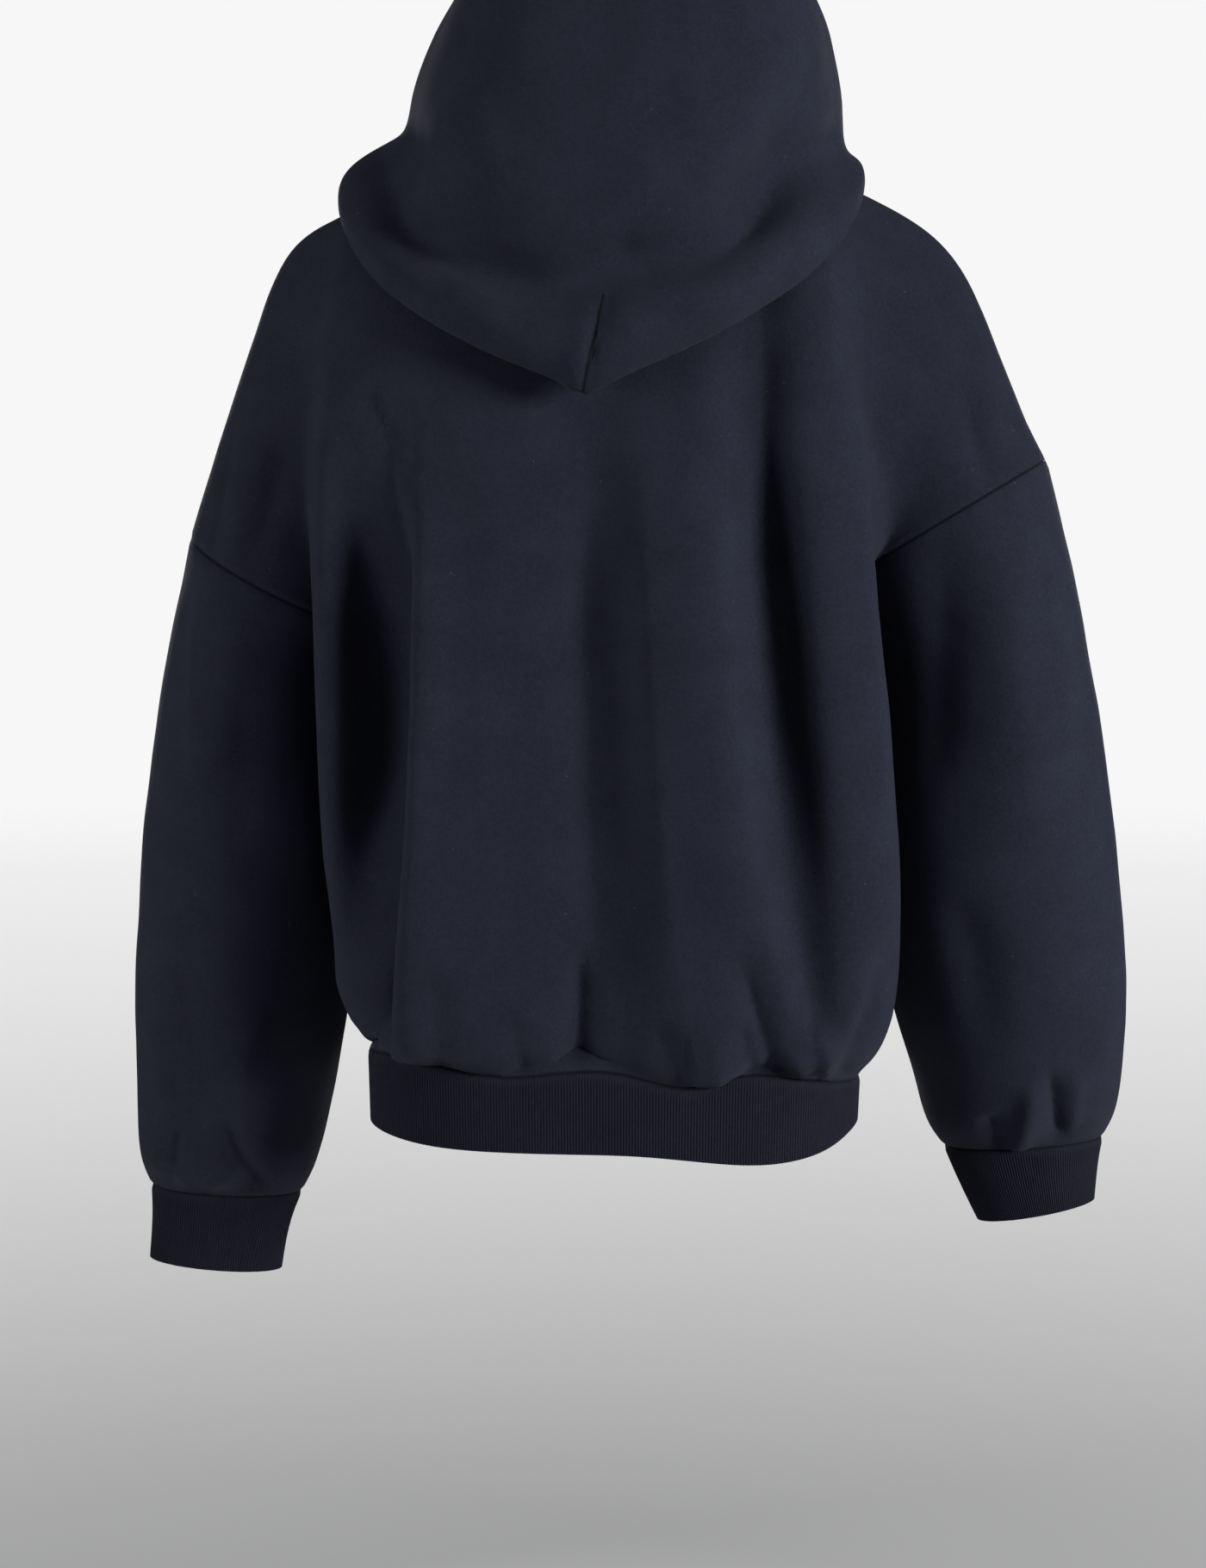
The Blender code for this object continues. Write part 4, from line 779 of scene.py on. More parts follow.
frontCreases = table(
    "x0  z0  x1  z1  x2  z2  left  right  height  head  tail  power",
    (0.150, -0.190, 0.142, -0.340, 0.158, -0.500, 0.011, 0.018, -0.0090, 0.1, 0.2, 1.7),
    (0.110, -0.250, 0.118, -0.400, 0.140, -0.540, 0.010, 0.026, 0.0062, 0.1, 0.6, 1.4),
    (0.128, -0.500, 0.132, -0.545, 0.122, -0.578, 0.006, 0.010, -0.0052, 0.1, 0.8, 1.3),
    (0.010, -0.230, 0.002, -0.400, -0.010, -0.560, 0.024, 0.028, -0.0040, 0.0, 0.6, 2.0),
    (-0.004, -0.500, -0.012, -0.550, -0.010, -0.590, 0.006, 0.008, -0.0046, 0.0, 1.0, 1.4),
    (0.066, -0.505, 0.060, -0.552, 0.064, -0.592, 0.007, 0.006, -0.0050, 0.0, 1.0, 1.3),
    (0.088, -0.520, 0.094, -0.558, 0.092, -0.588, 0.008, 0.008, 0.0032, 0.0, 1.0, 1.6),
    (-0.056, -0.520, -0.050, -0.560, -0.056, -0.598, 0.006, 0.009, -0.0040, 0.0, 1.0, 1.5),
    (-0.100, -0.490, -0.110, -0.545, -0.106, -0.594, 0.005, 0.008, -0.0056, 0.1, 1.0, 1.2),
    (-0.122, -0.500, -0.132, -0.548, -0.140, -0.592, 0.009, 0.010, 0.0040, 0.0, 0.9, 1.6),
    (0.034, -0.545, 0.032, -0.572, 0.036, -0.592, 0.009, 0.008, -0.0028, 0.0, 1.0, 1.8),
    (-0.150, -0.180, -0.156, -0.330, -0.150, -0.480, 0.014, 0.014, -0.0070, 0.1, 0.1, 1.8),
    (-0.110, -0.200, -0.114, -0.330, -0.098, -0.450, 0.020, 0.022, 0.0040, 0.0, 0.1, 1.9),
    (0.196, -0.235, 0.150, -0.215, 0.098, -0.222, 0.013, 0.016, -0.0044, 0.2, 0.0, 1.8),
    (-0.190, -0.205, -0.146, -0.190, -0.086, -0.206, 0.013, 0.015, -0.0042, 0.2, 0.0, 1.8),
    (0.120, -0.120, 0.094, -0.160, 0.060, -0.176, 0.018, 0.018, 0.0026, 0.0, 0.0, 2.0),
    (-0.130, -0.115, -0.096, -0.158, -0.050, -0.180, 0.018, 0.016, -0.0030, 0.0, 0.0, 2.0),
    (-0.040, -0.300, -0.058, -0.400, -0.050, -0.500, 0.026, 0.028, 0.0030, 0.0, 0.0, 2.0),
    (0.060, -0.320, 0.052, -0.400, 0.058, -0.480, 0.024, 0.026, 0.0028, 0.0, 0.0, 2.0),
    (0.262, -0.150, 0.252, -0.200, 0.266, -0.255, 0.012, 0.012, -0.0040, 0.0, 0.3, 1.8),
    (0.236, -0.320, 0.262, -0.350, 0.300, -0.352, 0.010, 0.012, -0.0046, 0.1, 0.0, 1.6),
    (0.232, -0.372, 0.262, -0.398, 0.308, -0.392, 0.012, 0.012, 0.0034, 0.1, 0.0, 1.7),
    (0.226, -0.430, 0.258, -0.442, 0.290, -0.436, 0.009, 0.010, -0.0038, 0.1, 0.0, 1.6),
    (0.318, -0.400, 0.312, -0.480, 0.318, -0.560, 0.016, 0.016, -0.0030, 0.0, 0.0, 2.0),
    (0.246, -0.520, 0.262, -0.580, 0.256, -0.640, 0.014, 0.014, -0.0034, 0.0, 0.2, 1.9),
    (0.300, -0.635, 0.296, -0.668, 0.300, -0.695, 0.006, 0.007, -0.0044, 0.0, 0.9, 1.4),
    (0.262, -0.650, 0.268, -0.675, 0.266, -0.694, 0.007, 0.006, -0.0034, 0.0, 0.9, 1.5),
    (-0.252, -0.120, -0.246, -0.165, -0.262, -0.215, 0.012, 0.012, -0.0040, 0.0, 0.3, 1.8),
    (-0.228, -0.290, -0.262, -0.322, -0.312, -0.318, 0.010, 0.012, -0.0050, 0.1, 0.0, 1.6),
    (-0.224, -0.350, -0.258, -0.372, -0.300, -0.366, 0.012, 0.011, 0.0034, 0.1, 0.0, 1.7),
    (-0.220, -0.405, -0.256, -0.420, -0.298, -0.408, 0.009, 0.010, -0.0036, 0.1, 0.0, 1.6),
    (-0.326, -0.400, -0.322, -0.470, -0.332, -0.540, 0.015, 0.016, -0.0030, 0.0, 0.0, 2.0),
    (-0.250, -0.500, -0.268, -0.560, -0.262, -0.620, 0.014, 0.014, -0.0034, 0.0, 0.2, 1.9),
    (-0.306, -0.600, -0.302, -0.632, -0.304, -0.658, 0.006, 0.007, -0.0044, 0.0, 0.9, 1.4),
    (-0.272, -0.610, -0.276, -0.640, -0.274, -0.660, 0.007, 0.006, -0.0034, 0.0, 0.9, 1.5),
)
hoodBackCreases = table(
    "x0  z0  x1  z1  x2  z2  left  right  height  head  tail  power",
    (0.158, 0.016, 0.130, -0.040, 0.066, -0.071, 0.017, 0.014, -0.0082, 0.3, 0.6, 1.8),      # over the roll
    (0.160, 0.018, 0.134, -0.036, 0.086, -0.063, 0.011, 0.009, -0.0022, 0.6, 0.1, 1.6),
    (0.072, -0.069, 0.030, -0.077, -0.012, -0.059, 0.015, 0.012, -0.0075, 0.5, 0.6, 1.7),
    (-0.006, -0.061, -0.086, -0.042, -0.123, 0.048, 0.015, 0.013, -0.0115, 0.5, 0.3, 1.7),
    (-0.020, 0.060, -0.031, 0.034, -0.034, 0.010, 0.020, 0.016, -0.0048, 0.0, 0.0, 2.0),
    (-0.128, 0.052, -0.096, 0.000, -0.062, -0.048, 0.016, 0.020, -0.0080, 0.1, 0.1, 1.8),
    (0.110, 0.060, 0.090, 0.010, 0.050, -0.030, 0.020, 0.024, 0.0050, 0.1, 0.1, 1.8),
    (0.070, 0.150, 0.060, 0.090, 0.044, 0.020, 0.030, 0.030, 0.0044, 0.0, 0.0, 2.0),
    (-0.060, 0.160, -0.074, 0.110, -0.070, 0.050, 0.026, 0.030, 0.0050, 0.0, 0.0, 2.0),
    (0.010, 0.160, 0.012, 0.090, 0.004, 0.020, 0.030, 0.022, -0.0034, 0.0, 0.0, 2.0),
    (0.130, -0.030, 0.100, -0.078, 0.054, -0.108, 0.012, 0.014, 0.0040, 0.0, 0.0, 1.8),
    (-0.120, -0.030, -0.088, -0.072, -0.040, -0.104, 0.012, 0.014, 0.0040, 0.0, 0.0, 1.8),
    (0.016, -0.086, 0.020, -0.116, 0.026, -0.146, 0.010, 0.004, 0.0036, 0.1, 0.9, 1.3),
    (0.006, -0.082, 0.012, -0.114, 0.020, -0.148, 0.003, 0.007, -0.0040, 0.3, 1.0, 1.2),     # nape dart
    (-0.012, -0.094, -0.006, -0.118, 0.004, -0.138, 0.012, 0.012, 0.0022, 0.0, 0.8, 1.8),
)
hoodSideCreases = table(
    "x0  z0  x1  z1  x2  z2  left  right  height  head  tail  power",
    (-0.060, 0.150, -0.030, 0.100, -0.036, 0.040, 0.020, 0.020, -0.0040, 0.0, 0.0, 2.0),
    (0.060, 0.150, 0.040, 0.090, 0.060, 0.030, 0.022, 0.024, 0.0030, 0.0, 0.0, 2.0),
    (-0.080, 0.060, -0.050, 0.020, -0.010, 0.006, 0.012, 0.014, -0.0046, 0.1, 0.0, 1.7),
    (-0.092, 0.030, -0.070, 0.000, -0.050, -0.020, 0.010, 0.010, 0.0034, 0.1, 0.0, 1.8),
    (0.120, 0.020, 0.080, 0.030, 0.040, 0.044, 0.014, 0.012, -0.0040, 0.0, 0.0, 1.8),
)

# For each view square on: the axis across it, the axis that it is seen along, and the way to the viewer
looks = {"back": (0, 1, 1), "front": (0, 1, -1), "left": (1, 0, 1), "right": (1, 0, -1)}


def creaseHeights(points, normals, creases, look):
    # How far creases raise or sink the cloth, on the side of it that faces the given way.
    across, outward, sign = looks[look]
    flat = np.stack([points[..., across], points[..., 2]], axis=-1).reshape(-1, 2)
    turnedFrom, turnedTo = cloth["facing"]
    facing = np.clip((normals[..., outward].ravel() * sign - turnedFrom) / (turnedTo - turnedFrom), 0, 1)
    heights = np.zeros(len(flat))
    share = np.linspace(0, 1, cloth["creaseSteps"] + 1)[:, None]
    for i in range(len(creases["x0"])):
        row = {name: values[i] for name, values in creases.items()}
        start, middle, end = (np.array([row["x" + k], row["z" + k]]) for k in "012")
        line = start * (1 - share) * (1 - 2 * share) + middle * 4 * share * (1 - share)
        line += end * share * (2 * share - 1)
        reach = 3 * max(row["left"], row["right"])
        within = (flat > line.min(axis=0) - reach) & (flat < line.max(axis=0) + reach)
        near = np.flatnonzero(within.all(axis=1) & (facing > 0))
        if not len(near):
            continue
        steps = np.diff(line, axis=0)
        offsets = flat[near, None] - line[:-1]
        along = np.clip((offsets * steps).sum(axis=2) / (steps ** 2).sum(axis=1), 0, 1)
        apart = offsets - along[..., None] * steps
        away = np.linalg.norm(apart, axis=2)
        first = away.argmin(axis=1)
        pick = np.arange(len(near)), first
        turn = steps[first, 0] * offsets[pick][:, 1] - steps[first, 1] * offsets[pick][:, 0]
        width = np.where(turn > 0, row["left"], row["right"])
        done = (first + along[pick]) / len(steps)
        rise = row["head"] + (1 - row["head"]) * smoothStep(done / cloth["creaseEnd"])
        fall = row["tail"] + (1 - row["tail"]) * smoothStep((1 - done) / cloth["creaseEnd"])
        profile = np.exp(-(away[pick] / width) ** row["power"])
        heights[near] += row["height"] * rise * fall * profile * facing[near]
    return heights.reshape(points.shape[:-1])


def smoothStep(value):
    value = np.clip(value, 0, 1)
    return value * value * (3 - 2 * value)


def crumpled(points, shift):
    # Slow unevenness, from smooth noise at two sizes.
    size = cloth["crumpleSize"]
    finer, lower = cloth["crumpleFine"]
    values = []
    for point in points.reshape(-1, 3):
        spot = Vector(point) / size + Vector((shift, 0, 0))
        values.append(noise.noise(spot) + lower * noise.noise(spot * finer))
    return np.array(values).reshape(points.shape[:-1]) * cloth["crumple"]


def edgeEnds(piece):
    # For each point on the edge of a piece: its row and column, its place, its normal, the angle that the
    # piece fills there, and the direction into the piece.
    grid = piece["grid"]
    rows, columns = grid.shape[:2]
    ends = []
    for i in range(rows):
        for j in range(columns):
            onRow = i in (0, rows - 1)
            onColumn = not piece["around"] and j in (0, columns - 1)
            if not onRow and not onColumn:
                continue
            innerRow = grid[1 if i == 0 else rows - 2, j] - grid[i, j]
            innerColumn = grid[i, 1 if j == 0 else columns - 2] - grid[i, j]
            if onRow and onColumn:
                beside, way = (innerRow, innerColumn), unit(innerRow) + unit(innerColumn)
            elif onRow:
                beside, way = (grid[i, j - 1], grid[i, (j + 1) % columns]) - grid[i, j], unit(innerRow)
            else:
                beside, way = (grid[i - 1, j], grid[i + 1, j]) - grid[i, j], unit(innerColumn)
            angle = np.arccos(np.clip(unit(beside[0]) @ unit(beside[1]), -1, 1))
            ends.append(dict(at=(i, j), spot=grid[i, j].copy(), normal=piece["normals"][i, j],
                             angle=angle, way=unit(way)))
    return ends


def sew(pieces):
    # Where edge points of pieces meet, gives them one normal and moves them a seam gap apart.
    ends = [dict(end, piece=piece) for piece in pieces.values() for end in edgeEnds(piece)]
    spots = np.array([end["spot"] for end in ends])
    seams = []
    used = set()
    for k, spot in enumerate(spots):
        near = np.flatnonzero(np.linalg.norm(spots - spot, axis=1) < cloth["sameSpot"])
        if len(near) > 1 and k not in used:
            used.update(near.tolist())
            seams.append([ends[n] for n in near])
    seamSpots = np.array([meeting[0]["spot"] for meeting in seams])
    normals = np.array([sum(end["normal"] * end["angle"] for end in meeting) for meeting in seams])
    away = np.linalg.norm(seamSpots[:, None] - seamSpots, axis=2)
    normals = unit(np.exp(-(away / cloth["seamSmooth"]) ** 2) @ normals)
    for meeting, spot, shared in zip(seams, seamSpots, normals):
        moves = partWays([end["way"] for end in meeting], shared)
        for end, move in zip(meeting, moves):
            end["piece"]["grid"][end["at"]] += move
            end["piece"]["seam"].append((spot, shared))
    for piece in pieces.values():
        turnNormals(piece)


def partWays(ways, shared):
    # The smallest moves that leave a seam gap between each two pieces that meet.
    lines = []
    for p in range(len(ways)):
        for q in range(p + 1, len(ways)):
            apart = ways[p] - ways[q]
            apart = unit(apart - shared * (apart @ shared))
            line = np.zeros((len(ways), 3))
            line[p], line[q] = apart, -apart
            lines.append(line.ravel())
    gaps = np.full(len(lines), cloth["seamGap"])
    return np.linalg.lstsq(np.array(lines), gaps, rcond=1e-6)[0].reshape(-1, 3)


def turnNormals(piece):
    # Turns the normals near a seam to the ones shared there.
    spots = np.array([spot for spot, _ in piece["seam"]])
    shared = np.array([normal for _, normal in piece["seam"]])
    away = np.linalg.norm(piece["grid"][:, :, None] - spots, axis=3)
    weight = ease(away.min(axis=2), cloth["seamTurn"])[..., None]
    piece["normals"] = unit(piece["normals"] * (1 - weight) + shared[away.argmin(axis=2)] * weight)


def newPiece(grid, around, flipped, sewn):
    # A piece's middle surface. flipped says that its rows and columns turn the other way round, and sewn
    # names its edges that are seams.
    normals = normalsOf(grid, around) * (-1 if flipped else 1)
    return dict(grid=grid, around=around, flipped=flipped, normals=normals, sewn=sewn, seam=[])


def seamDistance(piece):
    # How far each point lies from the piece's nearest sewn edge, along its rows and columns.
    grid = piece["grid"]
    nearest = np.full(grid.shape[:2], 1.0)
    for edge in piece["sewn"]:
        turned = grid if edge in ("top", "bottom") else grid.swapaxes(0, 1)
        turned = turned[::-1] if edge in ("bottom", "last") else turned
        steps = np.linalg.norm(np.diff(turned, axis=0), axis=2)
        along = np.concatenate([np.zeros((1, steps.shape[1])), np.cumsum(steps, axis=0)])
        along = along[::-1] if edge in ("bottom", "last") else along
        nearest = np.minimum(nearest, along if edge in ("top", "bottom") else along.T)
    return nearest


def crease(piece, tables, shift):
    # Carves the creases and the slow unevenness into a piece, and leaves its seams where they are.
    grid, normals = piece["grid"], piece["normals"]
    heights = crumpled(grid, shift)
    for look, creases in tables.items():
        heights += creaseHeights(grid, normals, creases, look)
    free = 1 - ease(seamDistance(piece), cloth["creaseFade"])
    piece["grid"] = grid + normals * (heights * free)[..., None]
    piece["normals"] = normalsOf(piece["grid"], piece["around"]) * (-1 if piece["flipped"] else 1)


def newObject(name, data):
    thing = bpy.data.objects.new(name, data)
    bpy.context.scene.collection.objects.link(thing)
    return thing


def spreadEvenly(piece, columns):
    # Spreads the columns of a tube evenly round it, for ribs of one width.
    closed = {name: np.concatenate([piece[name], piece[name][:, :1]], axis=1) for name in ("grid", "normals")}
    places = lengthsAlong(closed["grid"].mean(axis=0))
    even = np.linspace(0, 1, columns, endpoint=False)
    for name, rows in closed.items():
        piece[name] = np.stack([
            np.stack([np.interp(even, places, row[:, k]) for k in range(3)], axis=1) for row in rows])
    piece["normals"] = unit(piece["normals"])


def shell(name, piece, outsideFinish, insideFinish):
    # The closed shell of one piece, half a wall to each side of its middle surface. It carries the cut's
    # own UV map in metres, and the distance to the nearest seam.
    grid, normals, around = piece["grid"], piece["normals"], piece["around"]
    rows, columns = grid.shape[:2]
    distance = seamDistance(piece)
    roll = cloth["rollDepth"] * ease(distance, cloth["rollFrom"])
    outer = grid + normals * (cloth["wall"] / 2 - roll)[..., None]
    inner = grid - normals * cloth["wall"] / 2
    number = np.arange(rows * columns).reshape(rows, columns)
    if around:
        number = np.concatenate([number, number[:, :1]], axis=1)
    wide = number.shape[1]
    ring = np.concatenate([grid, grid[:, :1]], axis=1) if around else grid
    acrossSteps = np.linalg.norm(np.diff(ring, axis=1), axis=2)
    downSteps = np.linalg.norm(np.diff(grid, axis=0), axis=2).mean(axis=1)
    u = np.concatenate([np.zeros((rows, 1)), np.cumsum(acrossSteps, axis=1)], axis=1)
    u = u - u[:, wide // 2:wide // 2 + 1]
    v = np.repeat(np.concatenate([[0], np.cumsum(downSteps)])[:, None], wide, axis=1)

    def quads(a, b, c, d):
        return np.stack([a.ravel(), b.ravel(), c.ravel(), d.ravel()], axis=1)

    def corners(values):
        return quads(values[:-1, :-1], values[:-1, 1:], values[1:, 1:], values[1:, :-1])

    outside = corners(number)
    uv = np.stack([corners(u), corners(v)], axis=2)
    behind = number + rows * columns
    inside = corners(behind)[:, ::-1]
    faces, maps = [outside, inside], [uv, uv[:, ::-1]]
    edges = [((0, slice(None)), True), ((-1, slice(None)), False)]
    if not around:
        edges += [((slice(None), 0), False), ((slice(None), -1), True)]
    for at, turned in edges:
        front, back = number[at], behind[at]
        rim = quads(front[:-1], front[1:], back[1:], back[:-1])
        places = np.stack([u[at], v[at]], axis=1)
        rimMap = np.stack([places[:-1], places[1:], places[1:], places[:-1]], axis=1)
        faces.append(rim[:, ::-1] if turned else rim)
        maps.append(rimMap[:, ::-1] if turned else rimMap)
    counts = [len(part) for part in faces]
    faces, maps = np.concatenate(faces), np.concatenate(maps)
    if piece["flipped"]:
        faces, maps = faces[:, ::-1], maps[:, ::-1]

    mesh = bpy.data.meshes.new(name)
    points = np.concatenate([outer.reshape(-1, 3), inner.reshape(-1, 3)])
    mesh.from_pydata(points.tolist(), [], faces.tolist())
    mesh.uv_layers.new(name="cut").data.foreach_set("uv", maps.astype(np.float32).ravel())
    addValues(mesh, "seamDistance", np.tile(distance.ravel(), 2))
    mesh.materials.append(outsideFinish)
    mesh.materials.append(insideFinish)
    finish = np.zeros(len(faces), np.int32)
    finish[counts[0]:counts[0] + counts[1]] = 1
    mesh.polygons.foreach_set("material_index", finish)
    mesh.shade_smooth()
    mesh.set_sharp_from_angle(angle=np.radians(cloth["sharpAngle"]))
    return newObject(name, mesh)


def addValues(mesh, name, values, kind="FLOAT"):
    # A value, or a vector, stored at each point of a mesh.
    layer = mesh.attributes.new(name, kind, "POINT")
    field = "value" if kind == "FLOAT" else "vector"
    layer.data.foreach_set(field, np.asarray(values, np.float32).ravel())


# Geometry Nodes for what repeats: the ribs of the bands, and the stitches along the seams.

def feed(tree, socket, value):
    # Gives a socket a value, or links another node's output to it.
    if isinstance(value, bpy.types.NodeSocket):
        tree.links.new(value, socket)
    else:
        socket.default_value = value


def addNode(tree, kind, settings=None, **inputs):
    # A node with its settings and inputs. An input is a value or another node's output, and its name in
    # the node is the keyword, or its number after "in".
    node = tree.nodes.new(kind)
    for name, value in (settings or {}).items():
        setattr(node, name, value)
    for name, value in inputs.items():
        number = name[2:]
        numbered = name.startswith("in") and number.isdigit()
        feed(tree, node.inputs[int(number) if numbered else name], value)
    return node


def shownOutput(node):
    return next(socket for socket in node.outputs if socket.enabled)


def maths(tree, operation, *values):
    inputs = {f"in{k}": value for k, value in enumerate(values)}
    return addNode(tree, "ShaderNodeMath", {"operation": operation}, **inputs).outputs[0]


def vectorMaths(tree, operation, *values, **named):
    inputs = {f"in{k}": value for k, value in enumerate(values)}
    return addNode(tree, "ShaderNodeVectorMath", {"operation": operation}, **inputs, **named).outputs[0]


def newShaping(name, inputs):
    # A Geometry Nodes tree with the given inputs: name, kind and first value.
    tree = bpy.data.node_groups.new(name, "GeometryNodeTree")
    tree.is_modifier = True
    tree.interface.new_socket("Geometry", in_out="INPUT", socket_type="NodeSocketGeometry")
    for label, kind, value in inputs:
        socket = tree.interface.new_socket(label, in_out="INPUT", socket_type="NodeSocket" + kind)
        if value is not None:
            socket.default_value = value    # a finish has none
    tree.interface.new_socket("Geometry", in_out="OUTPUT", socket_type="NodeSocketGeometry")
    return tree, tree.nodes.new("NodeGroupInput").outputs


def endShaping(tree, geometry, finish):
    # Ends a tree with plain geometry in its finish.
    whole = addNode(tree, "GeometryNodeRealizeInstances", in0=geometry).outputs[0]
    painted = addNode(tree, "GeometryNodeSetMaterial", in0=whole, Material=finish).outputs[0]
    tree.links.new(painted, tree.nodes.new("NodeGroupOutput").inputs[0])
    return tree


def storedValue(tree, name, kind="FLOAT"):
    return shownOutput(addNode(tree, "GeometryNodeInputNamedAttribute", {"data_type": kind}, Name=name))


def ribShaping():
    # Raises round ribs on a band, from how far round it each point is.
    tree, given = newShaping("ribShaping", [
        ("Ribs", "Int", 100), ("Rib Height", "Float", 0.0006), ("Finish", "Material", None),
    ])
    turns = maths(tree, "MULTIPLY", storedValue(tree, "around"), given["Ribs"])
    wave = maths(tree, "COSINE", maths(tree, "MULTIPLY", turns, 2 * np.pi))
    rounded = maths(tree, "POWER", maths(tree, "MULTIPLY_ADD", wave, 0.5, 0.5), ribbing["roundness"])
    height = maths(tree, "MULTIPLY", maths(tree, "MULTIPLY", rounded, given["Rib Height"]),
                   storedValue(tree, "outside"))
    offset = vectorMaths(tree, "SCALE", storedValue(tree, "outward", "FLOAT_VECTOR"), Scale=height)
    moved = addNode(tree, "GeometryNodeSetPosition", in0=given["Geometry"], Offset=offset).outputs[0]
    return endShaping(tree, moved, given["Finish"])


def stitchShaping():
    # Lays stitches along a line of points. Each is a short arch of thread, turned by the slant.
    tree, given = newShaping("stitchShaping", [
        ("Spacing", "Float", 0.003), ("Stitch Length", "Float", 0.0024), ("Thread Radius", "Float", 0.0002),
        ("Rise", "Float", 0.0003), ("Slant", "Float", 0.0), ("Finish", "Material", None),
    ])
    line = addNode(tree, "GeometryNodeMeshToCurve", in0=given["Geometry"]).outputs[0]
    spaced = addNode(tree, "GeometryNodeResampleCurve", {"mode": "LENGTH"}, Curve=line,
                     Length=given["Spacing"])
    half = maths(tree, "MULTIPLY", given["Stitch Length"], 0.5)
    start = addNode(tree, "ShaderNodeCombineXYZ", X=maths(tree, "MULTIPLY", half, -1.0)).outputs[0]
    top = addNode(tree, "ShaderNodeCombineXYZ", Z=maths(tree, "MULTIPLY", given["Rise"], 2.0)).outputs[0]
    end = addNode(tree, "ShaderNodeCombineXYZ", X=half).outputs[0]
    arch = addNode(tree, "GeometryNodeCurveQuadraticBezier", Resolution=4, Start=start, Middle=top, End=end)
    ring = addNode(tree, "GeometryNodeCurvePrimitiveCircle", Resolution=5, Radius=given["Thread Radius"])
    strand = addNode(tree, "GeometryNodeCurveToMesh", Curve=arch.outputs[0])
    feed(tree, strand.inputs["Profile Curve"], ring.outputs[0])
    feed(tree, strand.inputs["Fill Caps"], True)
    up = addNode(tree, "FunctionNodeAlignRotationToVector", {"axis": "Z"},
                 Vector=storedValue(tree, "up", "FLOAT_VECTOR")).outputs[0]
    along = addNode(tree, "FunctionNodeAlignRotationToVector", {"axis": "X", "pivot_axis": "Z"},
                    Rotation=up, Vector=tree.nodes.new("GeometryNodeInputTangent").outputs[0]).outputs[0]
    slant = addNode(tree, "FunctionNodeAxisAngleToRotation", Axis=(0, 0, 1), Angle=given["Slant"]).outputs[0]
    turned = addNode(tree, "FunctionNodeRotateRotation", {"rotation_space": "LOCAL"}, in0=along, in1=slant)
    sewn = addNode(tree, "GeometryNodeInstanceOnPoints", Points=spaced.outputs[0], Instance=strand.outputs[0],
                   Rotation=turned.outputs[0])
    return endShaping(tree, sewn.outputs[0], given["Finish"])


def shaped(thing, tree, **values):
    # Runs a shaping on an object once and keeps the plain mesh that it makes.
    modifier = thing.modifiers.new(tree.name, "NODES")
    modifier.node_group = tree
    sockets = {item.name: item.identifier for item in tree.interface.items_tree if item.in_out == "INPUT"}
    for name, value in values.items():
        modifier[sockets[name]] = value
    bpy.context.view_layer.update()
    done = thing.evaluated_get(bpy.context.evaluated_depsgraph_get())
    mesh = bpy.data.meshes.new_from_object(done)
    thing.modifiers.remove(modifier)
    old = thing.data
    thing.data = mesh
    bpy.data.meshes.remove(old)
    mesh.name = thing.name
    return thing


def stitchLine(name, lines, ups):
    # Lines of points as loose edges, with the direction out of the cloth at each point.
    mesh = bpy.data.meshes.new(name)
    edges, start = [], 0
    for line in lines:
        edges += [(start + k, start + k + 1) for k in range(len(line) - 1)]
        start += len(line)
    mesh.from_pydata(np.concatenate(lines).tolist(), edges, [])
    addValues(mesh, "up", np.concatenate(ups), "FLOAT_VECTOR")
    return newObject(name, mesh)


# Sewn allowances inside the seams, with their edge stitches, and the stitched hem of the hood's face.

tapes = {
    "wide": 0.0078,           # how far an allowance reaches into its piece
    "over": 0.0007,           # and over the seam
    "lines": (0.33, 0.7, 1),  # shares of its width where its lines lie
    "deep": 0.0010,           # its thickness
    "clear": 0.00022,         # between it and the cloth
    "spacing": 0.0032,        # of its edge stitches
    "stitch": 0.0044,
    "slant": 0.75,
    "hemRows": (0.0215, 0.0250),    # how far the two rows lie from the hood's face edge
    "hemSpacing": 0.0034,
    "hemStitch": 0.0026,
    "hemClear": 0.0001,       # between these rows and the cloth
    "threadRadius": 0.00022,
    "threadRise": 0.0003,
    "threadAside": 0.6,       # of its radius, from the allowance to the middle of the thread
    "rows": 30,               # rows of mesh that are searched from an edge
    "ends": 3,                # columns left out at both ends of the hem seam
    "hemEnds": 2,
    "sharpAngle": 50,
}


def inwardLine(piece, edge, span, distance):
    # The points of a piece and its normals along a line at a distance from one of its edges.
    grid, normals = piece["grid"], piece["normals"]
    if edge in ("first", "last"):
        grid, normals = grid.swapaxes(0, 1), normals.swapaxes(0, 1)
    if edge in ("bottom", "last"):
        grid, normals = grid[::-1], normals[::-1]
    grid, normals = grid[:tapes["rows"], span], normals[:tapes["rows"], span]
    if distance < 0:
        return grid[0] + unit(grid[1] - grid[0]) * distance, normals[0]
    lengths = np.concatenate([np.zeros((1, grid.shape[1])),
                              np.cumsum(np.linalg.norm(np.diff(grid, axis=0), axis=2), axis=0)])
    both = np.concatenate([grid, normals], axis=2)
    line = np.array([[np.interp(distance, lengths[:, j], both[:, j, k]) for k in range(6)]
                     for j in range(grid.shape[1])])
    return line[:, :3], unit(line[:, 3:])


